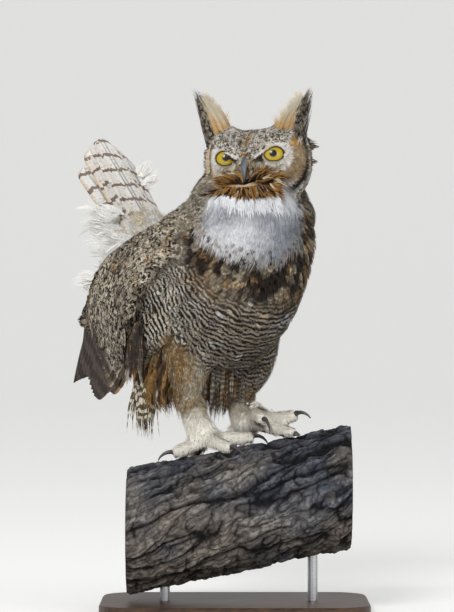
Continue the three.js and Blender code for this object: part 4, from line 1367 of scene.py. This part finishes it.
# brows, lores and loose feathers of the head
def headHairs(name, roots, headings, forward, lengths, widths, tints, ink, pattern, look):
    count = len(roots)
    forward, lengths, widths = (np.zeros(count) + value for value in (forward, lengths, widths))
    u = np.linspace(0, 1, look["levels"])[None]
    spine = roots[:, None] + unit(headings)[:, None] * (u * lengths[:, None])[..., None] \
        + np.array([0, -1.0, 0]) * (np.sin(u * math.pi * 0.8) * forward[:, None])[..., None]
    up = np.broadcast_to(unit(np.array([0, -1.0, 0.15])), spine.shape)
    spots = handSpots(count, tints, ink, pattern, 4, 0.0, onHead(roots), "head")
    makePiece(name, *fans(onHead(spine), fromHead(up), widths, spots, look), slotName="face")


hairLook = {"strips": 4, "levels": 5, "spread": (0.5, 0.9, 1, 0.8), "trim": 0.3, "rag": 0.1, "cup": 0.15,
            "fluff": 0.15, "fine": 0.9}
# the dark row under the white brow is painted shade over the eye's inner half
browLook = {**hairLook, "speckled": (3.0, 4.4, 6.0, 7.8, 9.8), "perSpeckled": 70, "perRow": 60,
            "overBill": 90, "rows": ((-2.4, "dark"), (-0.4, "white"), (0.6, "white"), (1.6, "white"))}
edgeLook = {**hairLook, "rim": 220, "pale": 440}
fringeEdge = {**hairLook, "ruff": 330, "locks": 170, "gape": 22, "strips": 5, "rag": 0.14}
lidLook = {**hairLook, "count": 330, "radius": 15.6, "earRoot": 110, "strips": 3}
loreLook = {**hairLook, "count": 150, "length": (8, 13), "strips": 3, "fine": 0.6, "fluff": 0.3}
looseLook = {**hairLook, "left": 16, "right": 5, "length": (12, 19), "width": 6.5, "fluff": 0.4}


def buildBrows():                # white over the eye, mottled rows above it, a few over the bill's root
    look, hairs = browLook, []
    speckle = [inks["crown"] * 0.8, inks["brown"], palette["crown"], palette["cream"], palette["white"]]
    rows = [*look["rows"], *((lift, "speckle") for lift in look["speckled"])]
    for sign, (lift, kind) in itertools.product((-1, 1), rows):
        n = look["perSpeckled"] if kind == "speckle" else look["perRow"]
        x = between(4, 24 if kind == "dark" else 42, n)
        z = browHeight(x) + lift + dice.normal(0, 0.5, n)
        y = -47.5 + ((x - 4) / 44) ** 2 * 15 + lift * 0.3
        steep = (0.3 if kind == "white" else 0.5) * ease(6, 18, x) * ease(40, 24, x) \
            + dice.normal(0.04, 0.12, n)
        length = between(4, 6.5, n)
        if kind == "speckle":
            tint = pick(speckle, (0.3, 0.15, 0.2, 0.2, 0.15), n)
        else:
            # the dark row stands for the shade under the brow: painted shade
            tint = (palette["white"] if kind == "white" else inks["thigh"]) * between(0.85, 1, (n, 1))
        hairs.append((columns(x * sign, y, z), columns(sign, 0.1 + x * 0.013, steep), length,
                      np.full(n, 2.6 if kind == "white" else 2.0), tint))
    n = look["overBill"]
    x, z = between(-6, 6, n), between(0, 12, n)
    headings = columns(x * 0.03, -0.55, -0.8) + jitter(n, 0.08)
    hairs.append((columns(x, -49 + np.abs(x) * 0.2 - (12 - z) * 0.25, z), headings, between(4, 7, n),
                  np.full(n, 2.0), np.array([*speckle, palette["ochre"]])[dice.integers(6, size=n)]))
    roots, headings, lengths, widths, tints = gather(hairs)
    headHairs("brow_plumes", roots, headings, between(1.6, 3.0, len(roots)), lengths, widths, tints,
              inks["crown"], (0, 0.2, 0), look)


def buildEyeFeathers():          # short ones that close in on the lids, mottled ones at the ears' roots
    look, hairs = lidLook, []
    upward = flat(np.array([[0, 0, 1.0]]), headGaze[None])[0]
    for side, sign in sides.items():
        n = look["count"]
        turn = between(0, 2 * math.pi, n)
        start = np.radians(between(50, 74, n))
        sideways = np.cross(gaze @ headTurn, upward)
        sideways = sideways * np.sign(sideways[0] * sign)
        level, high = np.cos(turn), np.sin(turn)
        rim = sideways * level[:, None] + upward * high[:, None]
        roots = eyes[side] @ headTurn - headCentre @ headTurn \
            + headGaze * (np.cos(start) * look["radius"])[:, None] \
            + rim * (np.sin(start) * look["radius"])[:, None]
        headings = rim * np.cos(start)[:, None] - headGaze * np.sin(start)[:, None] * 0.4 \
            + jitter(n, 0.08)
        upper = ease(0.5, 0.8, high) * ease(0.75, 0.3, level)
        lengths = between(3.4, 5.6, n) * (1 - 0.45 * upper)
        lengths = lengths * (1 - 0.45 * ease(0.2, 0.7, level) * (sign < 0))
        tan = ease(-0.3, -0.7, high) * 0.6 * (dice.random(n) < 0.5)
        # dark brown on the inner side towards the bill and darker over the top of the eye: painted shade
        tone = layers(palette["white"], (inks["thigh"], ease(0.55, 0.95, -level)), (palette["disc"], tan),
                      (palette["crown"] * 0.6, upper))
        hairs.append((roots, headings, lengths, np.full(n, 1.6), tone * between(0.75, 1.05, (n, 1))))
        n = look["earRoot"]
        x, z = between(27, 58, n), between(17, 34, n)
        tones = [inks["crown"] * 0.6, palette["crown"], palette["cream"], palette["ochre"]]
        hairs.append((columns(x * sign, -13 - (34 - z) * 0.5 + (x - 27) * 0.15, z),
                      columns(sign * between(0.1, 0.5, n), 0.1, 0.9), between(7, 12, n),
                      np.full(n, 3.2), pick(tones, (0.4, 0.25, 0.2, 0.15), n)))
    roots, headings, lengths, widths, tints = gather(hairs)
    headHairs("lid_plumes", roots, headings, 0.6, lengths, widths, tints, inks["crown"], (0, 0.1, 0), look)


def buildLores():                # bristles between the eyes and the bill
    look, hairs = loreLook, []
    for sign in (-1, 1):
        n = look["count"]
        z, x = between(-16, 9, n), between(4, 13, n)
        headings = columns(-sign * (0.05 + (x - 6) * 0.03), -0.6, -0.75 + (z + 4) * 0.01) \
            + jitter(n, 0.09)
        tone = np.where(dice.random((n, 1)) < 0.6, palette["cream"], palette["disc"])
        hairs.append((columns(x * sign, -45.5 + (x - 8) * 0.2, z), headings,
                      fade(tone, inks["crown"], ease(9, 13, x) * 0.6)))
    roots, headings, tints = gather(hairs)
    headHairs("lore_bristles", roots, headings, 1.2, between(*look["length"], len(roots)), 2.2, tints,
              inks["soft"], (0, 0.1, 0.2), look)


def buildLoose():                # a few that stand off behind the ears
    look = looseLook
    n, m = look["left"], look["right"]
    first = columns(between(50, 55, n), between(0, 12, n),
                    np.where(np.arange(n) < 11, between(8, 20, n), between(-8, 0, n)))
    second = columns(-between(50, 54, m), between(-14, -6, m), between(6, 16, m))
    roots = np.concatenate([first, second])
    headings = roots * np.array([0.02, 0, 0]) + np.array([0, 0.25, -0.15]) + dice.normal(0, 0.12, roots.shape)
    tints = np.where(np.arange(n)[:, None] % 3 == 0, palette["disc"], palette["wingDark"] * 0.6)
    tints = np.concatenate([tints, np.tile(palette["cream"], (m, 1))])
    lengths = np.append(between(*look["length"], n), np.full(m, 11.0))
    headHairs("loose_plumes", roots, headings, 0.5, lengths, look["width"], tints, inks["mantle"],
              (0.3, 0.8, 0.3), look)


def buildDiscEdge():             # the right edge of the face: pale feathers in front of a black rim
    look = edgeLook
    n = look["rim"] + look["pale"]
    z = between(-38, 22, n)
    rim = np.arange(n) < look["rim"]
    roots = headLocal(settle(onHead(columns(-62.0, np.where(rim, -17.0, -24.0), z)))[0])
    roots[:, 0] = roots[:, 0] + 1
    headings = columns(-1.0, np.where(rim, -0.1, -0.3), z * 0.006) + jitter(n, 0.08)
    lengths = between(0.9, 1.03, n) * (np.where(rim, 10.5, 8.4) + 2.5 * ease(15, -20, z))
    pale = pick([palette["cream"], palette["cream"] * 1.2, palette["ochre"] * 1.1], (0.4, 0.35, 0.25), n)
    tints = np.where(rim[:, None], palette["black"], pale) * between(0.85, 1.05, (n, 1))
    headHairs("disc_edge_plumes", roots, headings, 0.4, lengths, 2.2, tints, inks["crown"], (0, 0.05, 0),
              look)


def buildFringe():               # the ruff's lower edge, a pale line along the mouth, locks over the bib
    look = fringeEdge
    n, m, gape = counts = look["ruff"], look["locks"], look["gape"]

    def each(*values):           # one value for the ruff, the locks and the gape
        return np.repeat(values, counts)

    x = np.concatenate([between(-40, 36, n), between(-40, 40, m), between(-4, 4, gape)])
    z = np.concatenate([-28 - between(0, 10, n), -41 - between(0, 5, m), np.full(gape, -27.5)])
    place = headLocal(settle(onHead(columns(x, -60 + np.abs(x) * 0.4, z)))[0])
    roots = place + columns(0.0, each(-9.5, -9.0, -9.2), 0.0)
    sideways, falling = each(0.04, 0.012, 0.0) * x, each(-1.0, -1.0, 0.0)
    sideways[n + m:] = np.where(np.arange(gape) % 2 == 0, 1.0, -1.0)
    falling[n + m:] = dice.normal(0.0, 0.12, gape)
    headings = columns(sideways, each(-0.25, -0.12, 0.28), falling) \
        + dice.normal(0, 0.14, (n + m + gape, 3)) * each(1, 0.7, 0.3)[:, None]
    lengths = np.concatenate([between(8, 15, n), between(14, 24, m), between(14, 22, gape)])
    kinds = [inks["ruff"], palette["ruff"], palette["gold"], palette["cream"]]
    tints = np.concatenate([pick(kinds, (0.45, 0.25, 0.25, 0.05), n, 0.75, 1.1),
                            palette["bib"] * between(0.96, 1.04, (m, 1)),
                            np.tile((palette["cream"] + palette["gold"]) / 2, (gape, 1))])
    headHairs("ruff_fringe", roots, headings, each(1.0, 3.5, 0.6), lengths, each(2.0, 8.0, 1.0), tints,
              inks["ruff"], (0, 0, 0), look)


for build in (buildBrows, buildDiscEdge, buildFringe, buildEyeFeathers, buildLores, buildLoose):
    build()

# eyes
eyeLook = {"iris": (194, 166, 24), "limbus": (88, 66, 16), "ring": (116, 112, 60), "fibre": (116, 92, 12),
           "lid": (30, 24, 20), "around": 96, "opening": 12.6, "bulge": 0.5, "bulgeSpread": 0.75}


def eyeNodes(bench):
    reach, turn, _ = bench.attribute("vane").parts()
    fibre = bench.noise(bench.combine(turn * 9.0, reach * 1.5, 0.0), 5.0, 3.0, 0.6)
    iris = bench.attribute("tint", "Color")
    shadow = (turn.sine() * reach).step(0.2, 0.7) * 0.6
    for tint, amount in (("fibre", fibre.step(0.35, 0.75) * 0.55), ("ring", reach.step(0.44, 0.33) * 0.75),
                         ("limbus", reach.step(0.82, 0.98)), ("limbus", shadow)):
        iris = iris.paint(eyeLook[tint], amount)
    iris = iris.mix((0.004, 0.004, 0.005), reach.step(0.325, 0.295))
    return {"Base Color": iris.mix((0.006, 0.005, 0.005), reach.step(1.02, 1.08))}


eyeMaterial = newMaterial("eye", {"Roughness": 0.2, "Coat Weight": 0.35, "Coat Roughness": 0.03,
                                  "Specular IOR Level": 0.3}, eyeNodes)
lidMargins = {"left": [58, 37, 25, 22, 42, 36, 31, 40, 58], "right": [50, 38, 26, 22, 37, 36, 33, 40, 50]}
lidRows = ((1.5, 14.9, 1), (0, 15.2, 1), (0.6, 15.8, 1), (3, 16.2, 0.8),     # degrees back, radius, darkness
           (8, 16.2, 0.2), (16, 16.0, 0), (30, 15.2, 0), (48, 13.5, 0))


def buildEye(side, sign):
    around = eyeLook["around"]
    upward = flat(fromHead([[0, 0, 1.0]]), gaze[None])[0]
    sideways = np.cross(gaze, upward) * -sign
    sideways = sideways * np.sign(sideways @ fromHead([sign, 0, 0]))
    theta = np.radians(np.concatenate([np.linspace(0.01, 60, 40), np.linspace(66, 180, 16)]))
    phi = circle(around)
    rim = sideways * np.cos(phi)[:, None] + upward * np.sin(phi)[:, None]

    def ringAt(angles, radius):
        return eyes[side] + (gaze * np.cos(angles) + rim * np.sin(angles)) * radius

    bulge = eyeRadius + eyeLook["bulge"] * np.exp(-(theta / eyeLook["bulgeSpread"]) ** 4)
    points = ringAt(theta[:, None, None], bulge[:, None, None]).reshape(-1, 3)
    reach = np.sin(np.minimum(theta, math.pi / 2)) * eyeRadius / eyeLook["opening"]
    marks = {"vane": columns(np.repeat(reach, around), np.tile(phi, len(theta)), 0.0),
             "tint": np.broadcast_to(paintColour(*eyeLook["iris"]), points.shape)}
    makePiece(f"eyeball_{side}", points, gridFaces(len(theta), around, True), marks, None, eyeMaterial, "eye",
              [f"eye_{side}"])
    # lids: a rolled dark edge round the opening, then bare skin that runs back under the feathers
    margin = np.interp(np.degrees(phi), np.arange(0, 361, 45), lidMargins[side])
    points = np.concatenate([ringAt(np.radians(margin + add)[:, None], radius) for add, radius, _ in lidRows])
    shade = np.repeat([row[2] for row in lidRows], around)
    wide = {"ink": inks["brown"], "pattern": np.zeros(3), "vane": np.full(3, 0.5)}
    marks = {key: np.broadcast_to(value, points.shape) for key, value in wide.items()}
    marks["tint"] = fade(palette["cream"] * 0.8, paintColour(*eyeLook["lid"]), shade)
    marks["lie"] = np.zeros(len(points))
    makePiece(f"eyelids_{side}", points, gridFaces(len(lidRows), around, True), marks, slotName="face")


for side, sign in sides.items():
    buildEye(side, sign)

# bill and claws
hornLook = {"Roughness": 0.32, "Specular IOR Level": 0.5}


def hornNodes(bench):
    along, front, _ = bench.attribute("vane").parts()
    grain = bench.noise(bench.place(), 900.0, 3.0, 0.6)
    colour = grain.ramp((0.3, (98, 101, 106)), (0.7, (122, 125, 130)))
    for tint, amount in (((62, 66, 73), front.step(0.75, 1.0) * 0.75),
                         ((30, 31, 34), along.step(0.7, 1.0) * 0.8),
                         ((34, 35, 38), grain.step(0.45, 0.75) * 0.5)):
        colour = colour.paint(tint, amount)
    return {"Base Color": colour, "Roughness": grain * 0.25 + 0.22, "Normal": bench.bump(grain, 0.25, 0.0003)}


horn = newMaterial("horn", hornLook, hornNodes)
billStations = {"bill_upper": [[0, -42, 6, 3.8, 4.5, 4.5], [0, -52, 1, 4.1, 5.6, 5],
                               [0, -57.8, -6, 3.6, 4.8, 4.2], [0, -60.3, -14, 2.6, 3.6, 3.0],
                               [0, -59.3, -23.5, 0.7, 0.9, 0.8]],
                "bill_lower": [[0, -46, -15, 4, 2.4, 2.4], [0, -52, -19, 3.2, 2.2, 2.2],
                               [0, -55.5, -21.5, 1.2, 1.0, 1.0]]}
billRings, billSides = 30, 32
for name, stations in billStations.items():
    rows = spline(stations, billRings)
    points, faces = tube(rows[:, :3], rows[:, 3:], billSides)
    along = np.append(np.repeat(np.linspace(0, 1, billRings), billSides), [0, 1])
    front = np.abs(np.sin(circle(billSides)))
    front = np.append(np.tile(front, billRings), [0.5, 0])
    middle = np.append(np.repeat(rows[:, 1], billSides), [0, 0])
    front = np.where(points[:, 1] < middle, front, 0.2)
    makePiece(f"{name}_horn", onHead(points), faces, {"vane": columns(along, front, 0.0)}, None, horn, "horn",
              [name])


def dress(name, material):       # a new finish on a CAD node
    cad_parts[name].data.materials.clear()
    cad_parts[name].data.materials.append(material)


def plainHorn(bench):
    grain = bench.noise(bench.place(), 700.0, 3.0, 0.6)
    colour = grain.ramp((0.3, (30, 28, 28)), (0.7, (78, 74, 70)))
    return {"Base Color": colour, "Roughness": grain * 0.3 + 0.25, "Normal": bench.bump(grain, 0.2, 0.0003)}


clawHorn = newMaterial("claw_horn", hornLook, plainHorn)
clawNames = [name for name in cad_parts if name.startswith("claw_")]
for name in clawNames:
    dress(name, clawHorn)

# perch and stand
perchLook = {"radius": 74, "aside": -22, "along": 14, "ridge": 12, "slope": 11.4, "length": 266,
             "columns": 240, "rows": 350, "slant": -0.2, "sink": 7.7, "tread": 1.6, "grip": 6.5,
             "wander": 5.0, "capRings": 14,
             "octaves": ((80, 19, 3.4, 5.5), (26, 60, 1.6, 7.0),         # long, broad, tall, sharp
                         (26, 8, 1.7, 2.8), (7, 3.6, 1.5, 2.4))}
# the grey-blue ramp is the bark in painted shade, the brown ramp the bark lit
barkTones = {
    "shadedGrey": ((0.0, (16, 17, 21)), (0.35, (52, 54, 60)), (0.7, (84, 87, 95)), (1.0, (140, 141, 144))),
    "brown": ((0.0, (24, 20, 19)), (0.35, (76, 70, 66)), (0.7, (114, 107, 99)), (1.0, (164, 157, 146))),
    "lichen": (150, 144, 130), "wood": (138, 118, 92), "ring": (84, 60, 38),
}


def barkNodes(bench):
    deep, grain, warm = bench.attribute("pattern").parts()
    place = bench.place()
    tone = deep + (bench.noise(place, 190.0, 5.0, 0.75) - 0.5) * 1.1
    # grey-blue painted shade mixed with lit brown bark by the warm mark
    colour = tone.ramp(*barkTones["shadedGrey"]).mix(tone.ramp(*barkTones["brown"]), warm)
    colour = colour.paint(barkTones["lichen"], bench.noise(place, 38.0, 3.0).step(0.62, 0.75) * 0.35)
    rings = (((deep + bench.noise(place, 30.0, 2.0) * 0.12) * 75.0).sine() * 0.5 + 0.5) * grain * 0.35
    colour = colour.paint(barkTones["wood"], grain).paint(barkTones["ring"], rings)
    fine = bench.noise(place, 480.0, 4.0, 0.7)
    return {"Base Color": colour, "Normal": bench.bump(fine, 0.9, 0.003)}


bark = newMaterial("bark", {"Roughness": 0.92, "Specular IOR Level": 0.2}, barkNodes)


def buildPerch():
    look = perchLook
    along = np.linspace(-0.5, 0.5, look["columns"]) * look["length"] + look["along"]
    turn = circle(look["rows"])
    a, t = (grid.ravel() for grid in np.meshgrid(along, turn, indexing="ij"))
    height, crack = np.zeros(len(a)), np.zeros(len(a))
    around = np.stack([a, np.cos(t) * look["radius"], np.sin(t) * look["radius"]], 1)
    stray = [look["wander"] * (cloud(around, 17.0, 30 + k) + 0.25 * cloud(around, 7.0, 33 + k))
             for k in (0, 1)]
    lean = t + (a * look["slant"] + stray[0]) / look["radius"]
    for i, (long, broad, tall, sharp) in enumerate(look["octaves"]):
        grain = np.stack([(a + stray[1]) / long, np.cos(lean) * look["radius"] / broad,
                          np.sin(lean) * look["radius"] / broad], 1)
        ridge = np.abs(cloud(grain, 1.0, 3 + 2 * i))
        if broad > long:                                        # cracks across the plates come and go
            ridge = np.maximum(ridge, ease(-0.25, 0.15, cloud(around, 20.0, 41)))
        height += tall * np.minimum(ridge * sharp, 1.3)
        crack = np.maximum(crack, ease(0.38 / sharp, 0.05 / sharp, ridge) * (1 - 0.2 * i))
    height = height - look["sink"] + cloud(grain, 9.0, 6)
    edge = ease(0, 5, look["length"] / 2 - np.abs(a - look["along"]))
    worn = look["tread"] * ease(0.5, 0.8, np.cos(t))            # lower under the feet
    radius = look["radius"] + height - worn - (1 - edge) * 2.5
    rise = look["ridge"] + math.tan(math.radians(look["slope"])) * (a - look["along"]) - look["radius"]

    def stand(radius):
        return branchAlong * a[:, None] + branchAside * (look["aside"] + radius * np.sin(t))[:, None] \
            + np.array([0, 0, 1.0]) * (rise + radius * np.cos(t))[:, None]

    points = stand(radius)
    top = np.flatnonzero(np.cos(t) > 0.2)
    near = np.full(len(a), 99.0)                                # the bark gives way round each claw
    for name in clawNames:
        gap = np.linalg.norm(points[top, None] - nodeMesh(name)[0][None], axis=2).min(1)
        near[top] = np.minimum(near[top], gap)
    points = stand(radius - look["grip"] * ease(13, 5, near))
    # darker down in the cracks: partly the bark's own colour, partly painted shade
    tone = np.clip(0.49 + height * 0.1 - crack * 0.55 + cloud(grain, 5.0, 9) * 0.15, 0, 1)
    # brown low down and towards the left end, grey-blue on top and towards the right end: painted shade on
    # the top and right, mixed with random patches
    warm = np.clip(0.55 - 0.4 * np.cos(t) - 0.35 * a / look["length"] + cloud(points, 34.0, 4) * 0.7, 0, 1)
    marks = [columns(tone, 0.0, warm)]
    parts = [(points, gridFaces(look["columns"], look["rows"], True))]
    for end, flip in ((0, 1), (look["columns"] - 1, -1)):       # sawn ends with growth rings
        rim = points.reshape(look["columns"], look["rows"], 3)[end]
        middle = rim.mean(0)
        steps = np.linspace(1, 0.01, look["capRings"])
        cap = middle + (rim - middle) * steps[:, None, None]
        parts.append((cap.reshape(-1, 3), gridFaces(len(steps), look["rows"], True)[:, ::flip]))
        marks.append(columns(np.repeat(steps, look["rows"]), np.repeat(steps < 1, look["rows"]), 0.0))
    points, faces = together(parts)
    makePiece("perch_bark", points, faces, {"pattern": np.concatenate(marks)}, None, bark, "bark", ["perch"])


buildPerch()


def woodNodes(bench):
    place = bench.place().spread((3.0, 26.0, 26.0))
    grain = bench.noise(place, 4.0, 4.0, 0.6)
    colour = grain.ramp((0.3, (44, 30, 22)), (0.7, (84, 60, 43)))
    return {"Base Color": colour, "Roughness": grain * 0.2 + 0.34, "Normal": bench.bump(grain, 0.12, 0.0006)}


def steelNodes(bench):
    brushed = bench.noise(bench.place().spread((1.0, 1.0, 40.0)), 30.0, 3.0)
    colour = brushed.ramp((0.2, (150, 152, 155)), (0.8, (190, 191, 193)))
    return {"Base Color": colour, "Roughness": brushed * 0.2 + 0.25}


wood = newMaterial("stand_wood", {"Specular IOR Level": 0.4}, woodNodes)
steel = newMaterial("stand_steel", {"Metallic": 1.0}, steelNodes)
for name, finish in (("stand_base", wood), ("stand_rod_1", steel), ("stand_rod_2", steel)):
    dress(name, finish)

# stage
stageLook = {"tone": (0.82, 0.82, 0.81, 1), "glow": 0.3, "sky": 0.55, "rings": 49, "around": 96,
             "profile": [[0.01, 0], [6, 0], [8.6, 0.12], [10.8, 0.8], [12.2, 2.2], [12.8, 4.2], [12.9, 7.0]]}


def stageNodes(bench):
    seen, mirrored, through = (bench.node("ShaderNodeLightPath", None, None, f"Is {kind} Ray")
                               for kind in ("Camera", "Glossy", "Transmission"))
    seen = seen.larger(mirrored).larger(through)
    return {"Emission Color": bench.combine(seen, seen, seen)}


plain = newMaterial("stage", {"Base Color": stageLook["tone"], "Roughness": 0.95, "Specular IOR Level": 0.0,
                              "Emission Strength": stageLook["glow"]}, stageNodes)
ring = spline(stageLook["profile"], stageLook["rings"])
angle = circle(stageLook["around"])
dish = np.stack([np.outer(ring[:, 0], np.cos(angle)), np.outer(ring[:, 0], np.sin(angle)),
                 np.repeat(ring[:, 1:], len(angle), 1)], 2).reshape(-1, 3)
makePiece("backdrop", dish * 1000 - owlOrigin, gridFaces(len(ring), len(angle), True), material=plain,
          staged=True)


def addLamp(name, place, target, size, power):
    data = bpy.data.lights.new(name, "AREA")
    data.shape, data.size, data.energy = "DISK", size, power
    lamp = newObject(name, data)
    lamp.location = place
    away = np.subtract(place, target)
    lamp.rotation_euler = (math.atan2(math.hypot(away[0], away[1]), away[2]), 0,
                           math.atan2(away[1], away[0]) + math.pi / 2)


lamps = {"key": ((-3.2, -2.2, 2.6), (0, 0, 0.35), 1.6, 110),
         "fill": ((1.2, -4.2, 1.2), (0, 0, 0.35), 2.4, 45)}
for name, lampLook in lamps.items():
    addLamp(name, *lampLook)
world = bpy.data.worlds.new("studio")
bpy.context.scene.world = world
world.use_nodes = True
sky = world.node_tree.nodes["Background"].inputs
sky["Color"].default_value = (1, 1, 1, 1)
sky["Strength"].default_value = stageLook["sky"]
bpy.context.scene.view_settings.view_transform = "Standard"
